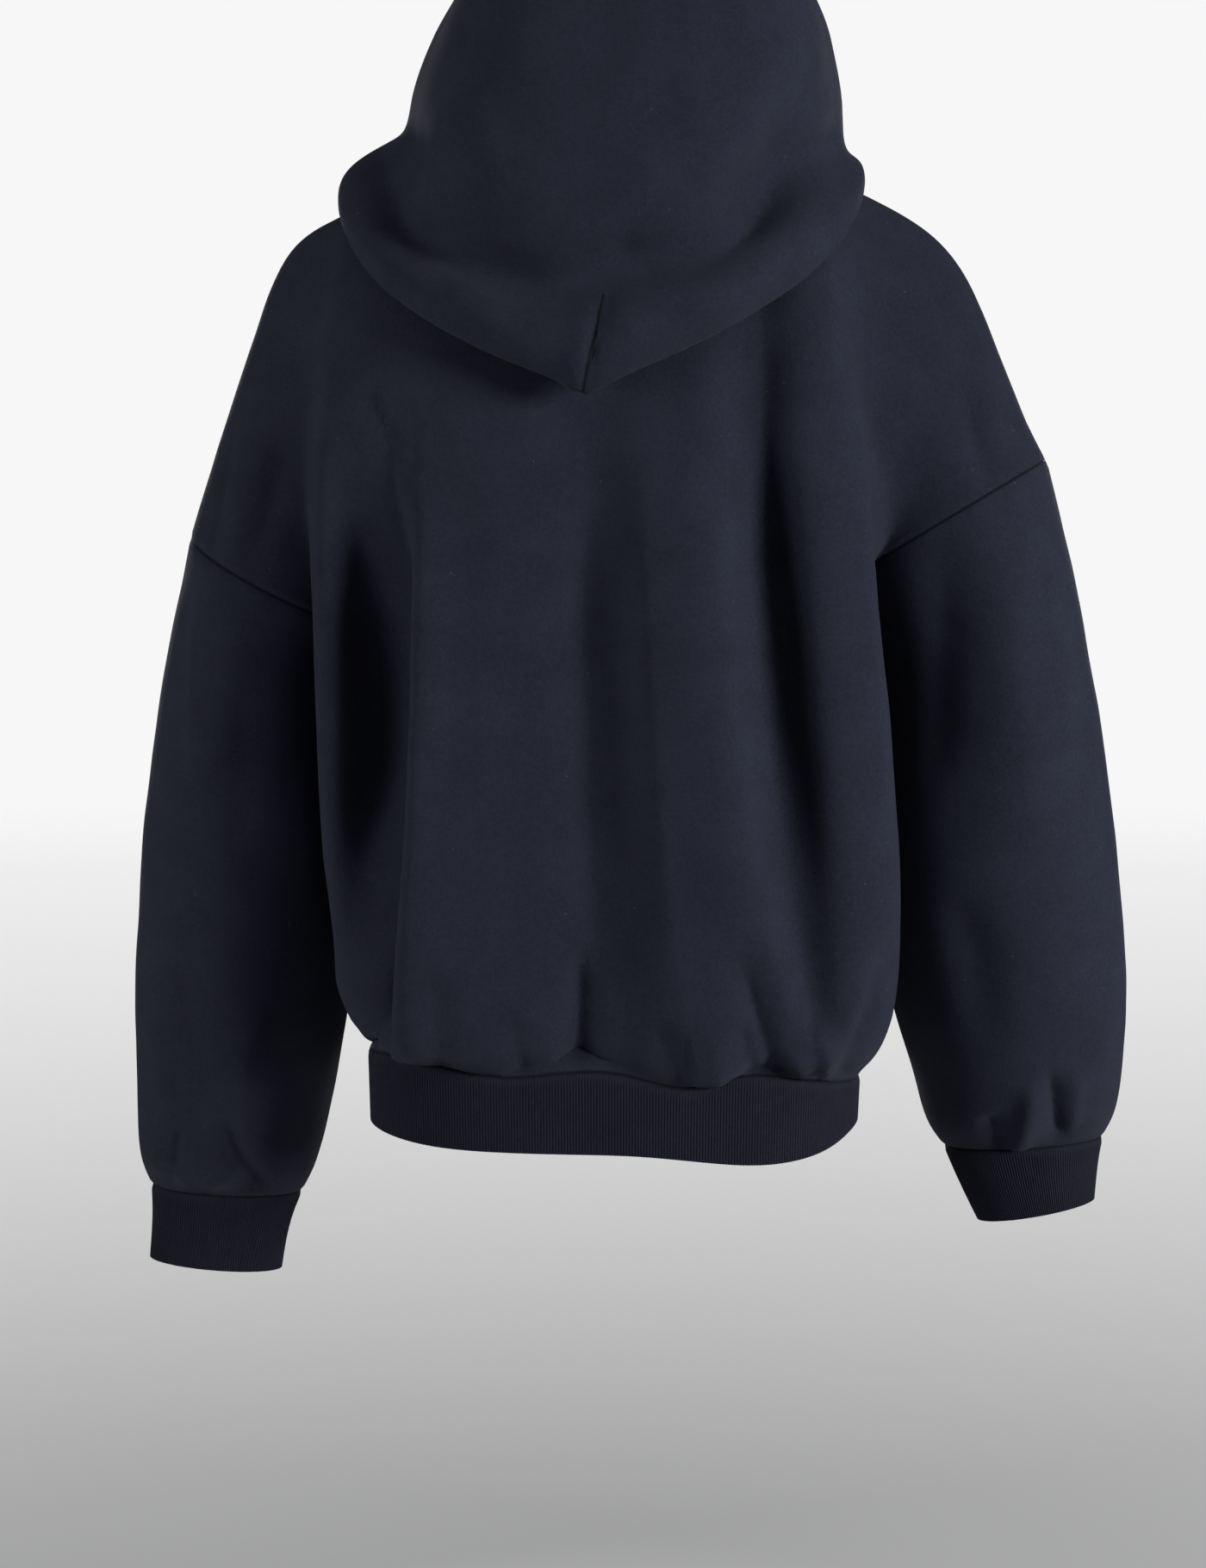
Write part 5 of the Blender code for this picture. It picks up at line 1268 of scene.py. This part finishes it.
def tapeParts(piece, edge, span, ring):
    # The points and faces of one allowance, and the line that its edge stitches follow.
    top, under = [], []
    for distance in (-tapes["over"], *(tapes["wide"] * share for share in tapes["lines"])):
        points, normals = inwardLine(piece, edge, span, distance)
        top.append(points - normals * (cloth["wall"] / 2 + tapes["clear"]))
        under.append(points - normals * (cloth["wall"] / 2 + tapes["clear"] + tapes["deep"]))
    loop = np.array(top + under[::-1])
    count, columns = loop.shape[:2]
    number = np.arange(count * columns).reshape(count, columns)
    if ring:
        number = np.concatenate([number, number[:, :1]], axis=1)
    after = np.roll(number, -1, axis=0)
    faces = np.stack([number[:, :-1], number[:, 1:], after[:, 1:], after[:, :-1]], axis=-1)
    faces = faces.reshape(-1, 4).tolist()
    if not ring:
        faces += [number[::-1, 0].tolist(), number[:, -1].tolist()]
    line = under[-1] - normals * tapes["threadRadius"] * tapes["threadAside"]
    if ring:
        line, normals = np.concatenate([line, line[:1]]), np.concatenate([normals, normals[:1]])
    return loop.reshape(-1, 3), faces, line, -normals


def tapeObject(name, parts):
    # The allowances of one piece as one mesh.
    points, faces = [], []
    for spots, sides, line, ups in parts:
        start = len(points)
        points += spots.tolist()
        faces += [[start + n for n in side] for side in sides]
    mesh = bpy.data.meshes.new(name)
    mesh.from_pydata(points, [], faces)
    work = bmesh.new()
    work.from_mesh(mesh)
    bmesh.ops.recalc_face_normals(work, faces=work.faces)
    work.to_mesh(mesh)
    work.free()
    places = np.array([mesh.vertices[loop.vertex_index].co for loop in mesh.loops])
    mesh.uv_layers.new(name="cut").data.foreach_set("uv", places[:, [0, 2]].astype(np.float32).ravel())
    addValues(mesh, "seamDistance", np.ones(len(points)))
    mesh.materials.append(seamTape)
    mesh.shade_smooth()
    mesh.set_sharp_from_angle(angle=np.radians(tapes["sharpAngle"]))
    return newObject(name, mesh)


def hemStitchLines(piece):
    # Two rows of stitches round the hood's face opening, on its outside and its inside.
    lines, ups = [], []
    span = slice(tapes["hemEnds"], -tapes["hemEnds"])
    for edge in ("first", "last"):
        for distance in tapes["hemRows"]:
            points, normals = inwardLine(piece, edge, span, distance)
            for side in (1, -1):
                lines.append(points + side * normals * (cloth["wall"] / 2 + tapes["hemClear"]))
                ups.append(side * normals)
    return lines, ups


def stitched(line, spacing, length, slant):
    # Turns a line of points into a row of stitches.
    shaped(line, stitchShapes, **{
        "Spacing": spacing, "Stitch Length": length, "Thread Radius": tapes["threadRadius"],
        "Rise": tapes["threadRise"], "Slant": slant, "Finish": thread})


# Finishes. Colours are linear, sizes in metres.

finishes = {
    "knit": ((0.0046, 0.0053, 0.0102), (0.0094, 0.0106, 0.0185)),    # its dark and its light shade
    "inside": ((0.0085, 0.0089, 0.0150), (0.0180, 0.0186, 0.0275)),
    "rib": ((0.0032, 0.0035, 0.0068), (0.0064, 0.0069, 0.0118)),
    "tape": ((0.0065, 0.0066, 0.0105), (0.0120, 0.0121, 0.0175)),
    "thread": ((0.0075, 0.0080, 0.0145), (0.0140, 0.0146, 0.0240)),
    "patch": 0.034,           # size of the slow change of shade
    "grain": 0.0021,          # size of the fine one
    "patchShare": 0.45,
    "grainShare": 0.85,
    "shadeFrom": 0.40,        # their sum where the dark shade ends
    "shadeTo": 0.90,          # and where the light one is reached
    "shadeHigh": 0.00016,     # how high the light shade stands
    "stitchWide": 0.00092,
    "stitchHigh": 0.00078,
    "stitchBump": 0.00010,
    "stitchSlant": 0.55,      # of a stitch's legs, in stitch heights
    "stitchLoops": 0.55,      # share of its height that comes and goes from stitch to stitch
    "groove": 0.0011,         # half width of the groove at a seam
    "grooveDeep": 0.0007,
    # painted shade in the seam groove: how much it darkens the colour
    "grooveDark": 0.6,
    # painted shade along the drawn lines: how much they darken the colour
    "lineDark": 0.85,
    "lineFrom": 0.05,         # lines are drawn only on what lies behind this y
    # lines of painted shade along the nape dart
    "dart": (                 # start, end and half width of each line
        ((0.0078, 0, -0.086), (0.0125, 0, -0.112), 0.0011),
        ((0.0125, 0, -0.112), (0.0218, 0, -0.150), 0.0013),
    ),
    "lintSpacing": 0.011,
    "lintSize": 0.00045,
    "lintColour": (0.09, 0.09, 0.10, 1),
    "roughness": 0.88,
    "shine": 0.06,
    "sheen": 0.02,
    "sheenRoughness": 0.55,
    "sheenTint": (0.80, 0.84, 1.0, 1),
}


def newGroup(name, inputs, outputs):
    # A shader group with the given inputs and outputs: name and kind.
    group = bpy.data.node_groups.new(name, "ShaderNodeTree")
    for label, kind in inputs:
        group.interface.new_socket(label, in_out="INPUT", socket_type="NodeSocket" + kind)
    for label, kind in outputs:
        group.interface.new_socket(label, in_out="OUTPUT", socket_type="NodeSocket" + kind)
    return group, group.nodes.new("NodeGroupInput").outputs, group.nodes.new("NodeGroupOutput").inputs


def knitGroup():
    # Columns of V-shaped stitches, as a height from 0 to 1.
    group, given, made = newGroup("knitStitches", [
        ("Map", "Vector"), ("Stitch Width", "Float"), ("Stitch Height", "Float"),
    ], [("Height", "Float")])
    place = addNode(group, "ShaderNodeSeparateXYZ", in0=given["Map"]).outputs
    column = maths(group, "FRACT", maths(group, "DIVIDE", place["X"], given["Stitch Width"]))
    aside = maths(group, "ABSOLUTE", maths(group, "MULTIPLY_ADD", column, 2.0, -1.0))
    row = maths(group, "ADD", maths(group, "DIVIDE", place["Y"], given["Stitch Height"]),
                maths(group, "MULTIPLY", aside, finishes["stitchSlant"]))
    wave = maths(group, "SINE", maths(group, "MULTIPLY", row, 2 * np.pi))
    loop = maths(group, "MULTIPLY_ADD", wave, 0.5, 0.5)
    leg = maths(group, "MULTIPLY_ADD", aside, 2.0, -1.0)
    leg = maths(group, "SUBTRACT", 1.0, maths(group, "MULTIPLY", leg, leg))
    loops = finishes["stitchLoops"]
    height = maths(group, "MULTIPLY", leg, maths(group, "MULTIPLY_ADD", loop, loops, 1 - loops))
    feed(group, made["Height"], height)
    return group


def mottleGroup():
    # Slow and fine changes of shade together, from 0 to 1.
    group, given, made = newGroup("softMottle", [
        ("Place", "Vector"), ("Patch Size", "Float"), ("Grain Size", "Float"),
    ], [("Shade", "Float")])
    values = []
    for size, detail in (("Patch Size", 2.0), ("Grain Size", 3.0)):
        scale = maths(group, "DIVIDE", 1.0, given[size])
        values.append(addNode(group, "ShaderNodeTexNoise", Vector=given["Place"], Scale=scale, Detail=detail,
                              Roughness=0.55).outputs["Fac"])
    slow = maths(group, "MULTIPLY", values[0], finishes["patchShare"])
    both = maths(group, "MULTIPLY_ADD", values[1], finishes["grainShare"], slow)
    limits = {"From Min": finishes["shadeFrom"], "From Max": finishes["shadeTo"]}
    spread = addNode(group, "ShaderNodeMapRange", Value=both, **limits)
    feed(group, made["Shade"], spread.outputs[0])
    return group


def lintGroup():
    # Scattered specks of lint, as a mask.
    group, given, made = newGroup("lintSpecks", [
        ("Place", "Vector"), ("Spacing", "Float"), ("Speck Size", "Float"),
    ], [("Mask", "Float")])
    scale = maths(group, "DIVIDE", 1.0, given["Spacing"])
    cells = addNode(group, "ShaderNodeTexVoronoi", Vector=given["Place"], Scale=scale)
    chance = addNode(group, "ShaderNodeSeparateXYZ", in0=cells.outputs["Color"]).outputs["X"]
    size = maths(group, "MULTIPLY", maths(group, "DIVIDE", given["Speck Size"], given["Spacing"]), chance)
    feed(group, made["Mask"], maths(group, "LESS_THAN", cells.outputs["Distance"], size))
    return group


def seamGroup():
    # The groove at a seam: the painted shade that darkens the colour in it, and how high the cloth stands, by
    # the distance from it.
    group, given, made = newGroup("seamGroove", [
        ("Distance", "Float"), ("Half Width", "Float"),
    ], [("Shade", "Float"), ("Height", "Float")])
    share = maths(group, "DIVIDE", given["Distance"], given["Half Width"])
    fall = maths(group, "EXPONENT", maths(group, "MULTIPLY", maths(group, "MULTIPLY", share, share), -1.0))
    feed(group, made["Shade"], maths(group, "MULTIPLY_ADD", fall, -finishes["grooveDark"], 1.0))
    feed(group, made["Height"], maths(group, "SUBTRACT", 1.0, fall))
    return group


def lineGroup():
    # A sewn line or a sharp crease on the back, from its start to its end as seen square on: the painted
    # shade that darkens the colour along it, and how high the cloth stands beside it.
    group, given, made = newGroup("sewnLine", [
        ("Place", "Vector"), ("Start", "Vector"), ("End", "Vector"), ("Half Width", "Float"),
    ], [("Shade", "Float"), ("Height", "Float")])
    place = vectorMaths(group, "MULTIPLY", given["Place"], (1, 0, 1))
    run = vectorMaths(group, "SUBTRACT", given["End"], given["Start"])
    offset = vectorMaths(group, "SUBTRACT", place, given["Start"])
    dots = []
    for other in (offset, run):
        dot = addNode(group, "ShaderNodeVectorMath", {"operation": "DOT_PRODUCT"}, in0=other, in1=run)
        dots.append(dot.outputs["Value"])
    share = addNode(group, "ShaderNodeClamp", Value=maths(group, "DIVIDE", *dots)).outputs[0]
    nearest = vectorMaths(group, "SCALE", run, Scale=share)
    away = addNode(group, "ShaderNodeVectorMath", {"operation": "DISTANCE"}, in0=offset, in1=nearest)
    away = maths(group, "DIVIDE", away.outputs["Value"], given["Half Width"])
    fall = maths(group, "EXPONENT", maths(group, "MULTIPLY", maths(group, "MULTIPLY", away, away), -1.0))
    y = addNode(group, "ShaderNodeSeparateXYZ", in0=given["Place"]).outputs["Y"]
    fall = maths(group, "MULTIPLY", fall, maths(group, "GREATER_THAN", y, finishes["lineFrom"]))
    feed(group, made["Shade"], maths(group, "MULTIPLY_ADD", fall, -finishes["lineDark"], 1.0))
    feed(group, made["Height"], maths(group, "MULTIPLY", fall, -1.0))
    return group


def placed(tree, group, **inputs):
    # Puts a shader group into a finish. Its inputs are named with _ for each space.
    node = tree.nodes.new("ShaderNodeGroup")
    node.node_tree = group
    for name, value in inputs.items():
        feed(tree, node.inputs[name.replace("_", " ")], value)
    return node.outputs


groups = {
    "knit": knitGroup(), "mottle": mottleGroup(), "lint": lintGroup(), "seam": seamGroup(),
    "line": lineGroup(),
}


def mixed(tree, share, first, second):
    # A mix of two colours.
    mix = addNode(tree, "ShaderNodeMix", {"data_type": "RGBA"}, in0=share, in6=first, in7=second)
    return mix.outputs[2]


def clothFinish(name, shades, bump=1.0, fuzz=0.0, lint=0.5, lines=(), roughness=finishes["roughness"],
                sheen=finishes["sheen"]):
    # A knitted finish: stitches, mottled shade, grooves at the seams and drawn lines darkened with painted
    # shade, and a little lint.
    material = bpy.data.materials.new(name)
    material.use_nodes = True
    tree = material.node_tree
    shader = tree.nodes["Principled BSDF"]
    place = tree.nodes.new("ShaderNodeTexCoord").outputs["Object"]
    cut = addNode(tree, "ShaderNodeUVMap", {"uv_map": "cut"}).outputs["UV"]
    distance = addNode(tree, "ShaderNodeAttribute", {"attribute_name": "seamDistance"}).outputs["Fac"]
    mottle = placed(tree, groups["mottle"], Place=place, Patch_Size=finishes["patch"],
                    Grain_Size=finishes["grain"])
    groove = placed(tree, groups["seam"], Distance=distance, Half_Width=finishes["groove"])
    specks = placed(tree, groups["lint"], Place=place, Spacing=finishes["lintSpacing"],
                    Speck_Size=finishes["lintSize"])
    knit = placed(tree, groups["knit"], Map=cut, Stitch_Width=finishes["stitchWide"],
                  Stitch_Height=finishes["stitchHigh"])
    lineShade, lineHeight = groove["Shade"], groove["Height"]
    for start, end, halfWidth in lines:
        line = placed(tree, groups["line"], Place=place, Start=start, End=end, Half_Width=halfWidth)
        lineShade = maths(tree, "MULTIPLY", lineShade, line["Shade"])
        lineHeight = maths(tree, "ADD", lineHeight, line["Height"])
    dark, light = finishes[shades]
    shade = mixed(tree, mottle["Shade"], (*dark, 1), (*light, 1))
    # painted shade of the seam grooves and the drawn lines darkens the colour
    sunk = vectorMaths(tree, "SCALE", shade, Scale=lineShade)
    speckled = mixed(tree, maths(tree, "MULTIPLY", specks["Mask"], lint), sunk, finishes["lintColour"])
    height = maths(tree, "MULTIPLY", knit["Height"], finishes["stitchBump"] * bump)
    height = maths(tree, "MULTIPLY_ADD", lineHeight, finishes["grooveDeep"], height)
    height = maths(tree, "MULTIPLY_ADD", mottle["Shade"], finishes["shadeHigh"] + fuzz, height)
    relief = addNode(tree, "ShaderNodeBump", Height=height, Distance=1.0, Strength=1.0)
    for socket, value in {
        "Base Color": speckled, "Normal": relief.outputs[0], "Roughness": roughness,
        "Specular IOR Level": finishes["shine"], "Sheen Weight": sheen,
        "Sheen Roughness": finishes["sheenRoughness"], "Sheen Tint": finishes["sheenTint"],
    }.items():
        feed(tree, shader.inputs[socket], value)
    return material


knitCloth = clothFinish("navyBlackKnit", "knit")
# the hood's finish carries the nape dart's lines of painted shade
hoodCloth = clothFinish("navyBlackHood", "knit", lines=finishes["dart"])
brushedInside = clothFinish("brushedInside", "inside", bump=0.3, fuzz=0.0003, lint=0.8, sheen=0.06)
ribKnit = clothFinish("navyBlackRib", "rib", bump=0.8, lint=0.25)
seamTape = clothFinish("seamTape", "tape", bump=1.5, lint=0.0)
thread = clothFinish("navyThread", "thread", bump=0.0, lint=0.0, roughness=0.6)
print("Finishes made")


def sewnPieces():
    # Builds the eight pieces' surfaces and sews them together.
    back, front = bodyPanel("back", backFolds), bodyPanel("front", frontFolds)
    pieces = {
        "back": newPiece(back, False, False, ("top", "bottom", "first", "last")),
        "front": newPiece(front, False, True, ("top", "bottom", "first", "last")),
    }
    beside = sum(body["armholeCells"])
    for side, column in (("left", -1), ("right", 0)):
        ring = np.concatenate([back[:beside + 1, column], front[beside - 1:0:-1, column]])
        angles = np.concatenate([
            armholeAngles(side, "back", armholePlaces()),
            armholeAngles(side, "front", armholePlaces())[beside - 1:0:-1],
        ])
        tubeGrid = sleeveSurface(side, ring, angles)
        flipped = side == "left"
        pieces["sleeve_" + side] = newPiece(tubeGrid, True, flipped, ("top", "bottom"))
        pieces["cuff_" + side] = newPiece(cuffSurface(side, tubeGrid[-1], angles), True, flipped, ("top",))
    hem = hemRibSurface(np.concatenate([back[-1], front[-1, -2:0:-1]]))
    pieces["hem_rib"] = newPiece(hem, True, False, ("top",))
    shoulder = sum(body["lineCells"][:-1])
    middle = sum(body["lineCells"])
    neck = np.concatenate([
        front[0, middle:shoulder:-1], back[0, shoulder:-shoulder], front[0, -shoulder - 2:middle - 1:-1],
    ])
    pieces["hood"] = newPiece(hoodSurface(neck), False, True, ("top", "bottom"))

    bothSides = {"back": backCreases, "front": frontCreases}
    for k, name in enumerate(("back", "front", "sleeve_left", "sleeve_right")):
        crease(pieces[name], bothSides, 10 * k)
    crease(pieces["hood"], {"back": hoodBackCreases, "left": hoodSideCreases, "right": hoodSideCreases}, 50)
    sew(pieces)
    return pieces


def addBand(name, piece, finish):
    # A ribbed band: evenly spaced columns, several to each rib.
    ring = np.concatenate([piece["grid"][0], piece["grid"][0, :1]])
    length = np.linalg.norm(np.diff(ring, axis=0), axis=1).sum()
    ribs = int(round(length / ribbing["pitch"]))
    spreadEvenly(piece, ribs * ribbing["columnsToRib"])
    thing = shell(name, piece, finish, finish)
    rows, columns = piece["grid"].shape[:2]
    around = np.tile(np.arange(columns) / columns, rows)
    free = smoothStep(seamDistance(piece) / ribbing["startFrom"]).ravel()
    outside = np.concatenate([free, ribbing["insideShare"] * free])
    addValues(thing.data, "around", np.tile(around, 2))
    addValues(thing.data, "outside", outside)
    addValues(thing.data, "outward", np.tile(piece["normals"].reshape(-1, 3), (2, 1)), "FLOAT_VECTOR")
    shaped(thing, ribShapes, Ribs=ribs, **{"Rib Height": ribbing["ribHeight"], "Finish": finish})
    print(name, "with", ribs, "ribs")
    return thing


ribShapes = ribShaping()
stitchShapes = stitchShaping()
pieces = sewnPieces()
print("Pieces cut and sewn")

# Which edges carry an allowance: the edge, the part of it, and whether it closes into a ring.
toShoulder, toSide = sum(body["lineCells"][:-1]), sum(body["armholeCells"])
halfCrown = pieces["hood"]["grid"].shape[1] // 2
hemSpan = slice(tapes["ends"], -tapes["ends"])
tapeEdges = {
    "back": [("top", slice(0, toShoulder + 1), False), ("top", slice(-toShoulder - 1, None), False),
             ("first", slice(toSide, None), False), ("last", slice(toSide, None), False),
             ("bottom", hemSpan, False)],
    "front": [("bottom", hemSpan, False)],
    "sleeve_left": [("top", slice(None), True), ("bottom", slice(None), True)],
    "sleeve_right": [("top", slice(None), True), ("bottom", slice(None), True)],
    "hood": [("top", slice(None), False), ("bottom", slice(0, halfCrown + 1), False)],
}
sewnOn = {}
for name, edges in tapeEdges.items():
    parts = [tapeParts(pieces[name], *edge) for edge in edges]
    tape = tapeObject(name + "_allowance", parts)
    stitches = stitchLine(name + "_overlock", [part[2] for part in parts], [part[3] for part in parts])
    stitched(stitches, tapes["spacing"], tapes["stitch"], tapes["slant"])
    sewnOn[name] = [tape, stitches]
hemStitches = stitchLine("hood_hem_stitches", *hemStitchLines(pieces["hood"]))
stitched(hemStitches, tapes["hemSpacing"], tapes["hemStitch"], 0.0)
sewnOn["hood"].append(hemStitches)
sewnFaces = sum(len(extra.data.polygons) for extras in sewnOn.values() for extra in extras)
print("Allowances and stitches sewn,", sewnFaces, "faces")
things = {}
for name, piece in pieces.items():
    if name in ribbing["flat"]:
        things[name] = addBand(name + "_knit", piece, ribKnit)
    else:
        outside = hoodCloth if name == "hood" else knitCloth
        things[name] = shell(name + "_cloth", piece, outside, brushedInside)
for name, thing in things.items():
    print(name, "area", round(sum(face.area for face in thing.data.polygons) / 2, 4))

for name, thing in things.items():
    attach(thing, "root")
    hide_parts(name)
    for extra in sewnOn.get(name, ()):
        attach(extra, "root")


studio = {
    "floorZ": -2.1,
    "floorReach": 40.0,
    "floorMesh": (40, 96),       # rings and spokes
    "floorFade": (3.2, 1.25),    # the distance from which it fades, and how fast
    "floorEdge": (20.0, 39.0),   # it has faded fully between these distances
    "floorColour": (0.60, 0.605, 0.61, 1),
    "floorRoughness": 0.9,
    "sky": 0.055,             # light from all round
    "seen": 0.93,             # how bright the surroundings look
    "lights": {               # place, size and watts
        "keyRight": ((-2.45, 1.55, 0.05), 1.0, 196),
        "fillLeft": ((2.55, 1.15, 0.0), 1.0, 84),
        "above": ((-0.2, 1.6, 0.9), 0.8, 4),
        "frontKey": ((1.0, -2.4, 0.1), 1.0, 50),
        "frontFill": ((-1.0, -2.4, 0.1), 1.0, 30),
    },
    "lightAim": (0, 0, -0.35),
    "camera": (-0.0265, 1.70, -0.3424),
    "aim": (0.0111, 0.0, -0.4072),
    "lens": 54.55,
}


def paleFloor():
    # A round floor that fades into the pale surroundings at its edge.
    rings, spokes = studio["floorMesh"]
    points, faces = [(0, 0, studio["floorZ"])], []
    for r in range(1, rings + 1):
        away = studio["floorReach"] * r / rings
        points += [(away * np.cos(a), away * np.sin(a), studio["floorZ"])
                   for a in np.linspace(0, 2 * np.pi, spokes, endpoint=False)]
    for s in range(spokes):
        after = (s + 1) % spokes
        faces.append((0, 1 + s, 1 + after))
        for r in range(rings - 1):
            a, b = 1 + r * spokes, 1 + (r + 1) * spokes
            faces.append((a + s, b + s, b + after, a + after))
    mesh = bpy.data.meshes.new("paleFloor")
    mesh.from_pydata(points, [], faces)
    mesh.shade_smooth()
    material = bpy.data.materials.new("paleFloor")
    material.use_nodes = True
    tree = material.node_tree
    shader = tree.nodes["Principled BSDF"]
    feed(tree, shader.inputs["Base Color"], studio["floorColour"])
    feed(tree, shader.inputs["Roughness"], studio["floorRoughness"])
    place = tree.nodes.new("ShaderNodeTexCoord").outputs["Object"]
    away = addNode(tree, "ShaderNodeVectorMath", {"operation": "LENGTH"}, in0=place).outputs["Value"]
    near, far = studio["floorEdge"]
    limits = {"From Min": near, "From Max": far, "To Min": 1.0, "To Max": 0.0}
    edge = addNode(tree, "ShaderNodeMapRange", {"interpolation_type": "SMOOTHSTEP"}, Value=away, **limits)
    start, power = studio["floorFade"]
    share = maths(tree, "MINIMUM", maths(tree, "POWER", maths(tree, "DIVIDE", start, away), power), 1.0)
    feed(tree, shader.inputs["Alpha"], maths(tree, "MULTIPLY", share, edge.outputs[0]))
    mesh.materials.append(material)
    floor = newObject("paleFloor", mesh)


def pointAt(thing, place, aim):
    # Puts a light or a camera in its place and turns it to what it looks at.
    thing.location = place
    thing.rotation_euler = (Vector(aim) - Vector(place)).to_track_quat("-Z", "Y").to_euler()


def softLight(name, place, size, watts):
    light = bpy.data.lights.new(name, "AREA")
    light.shape = "DISK"
    light.size = size
    light.energy = watts
    pointAt(newObject(name, light), place, studio["lightAim"])


def paleWorld():
    # Plain white behind everything, and a dimmer, even light.
    world = bpy.data.worlds.new("paleWorld")
    bpy.context.scene.world = world
    world.use_nodes = True
    tree = world.node_tree
    seen = tree.nodes.new("ShaderNodeLightPath").outputs["Is Camera Ray"]
    strength = maths(tree, "MULTIPLY_ADD", seen, studio["seen"] - studio["sky"], studio["sky"])
    background = tree.nodes["Background"].inputs
    feed(tree, background["Color"], (1, 1, 1, 1))
    feed(tree, background["Strength"], strength)


paleFloor()
paleWorld()
for name, settings in studio["lights"].items():
    softLight(name, *settings)
print("Studio set")

camera = newObject("camera", bpy.data.cameras.new("camera"))
camera.data.lens = studio["lens"]
camera.data.sensor_width = 36
camera.data.clip_start, camera.data.clip_end = 0.05, 60
pointAt(camera, studio["camera"], studio["aim"])
bpy.context.scene.camera = camera
bpy.context.scene.view_settings.view_transform = "Standard"

bpy.context.view_layer.update()
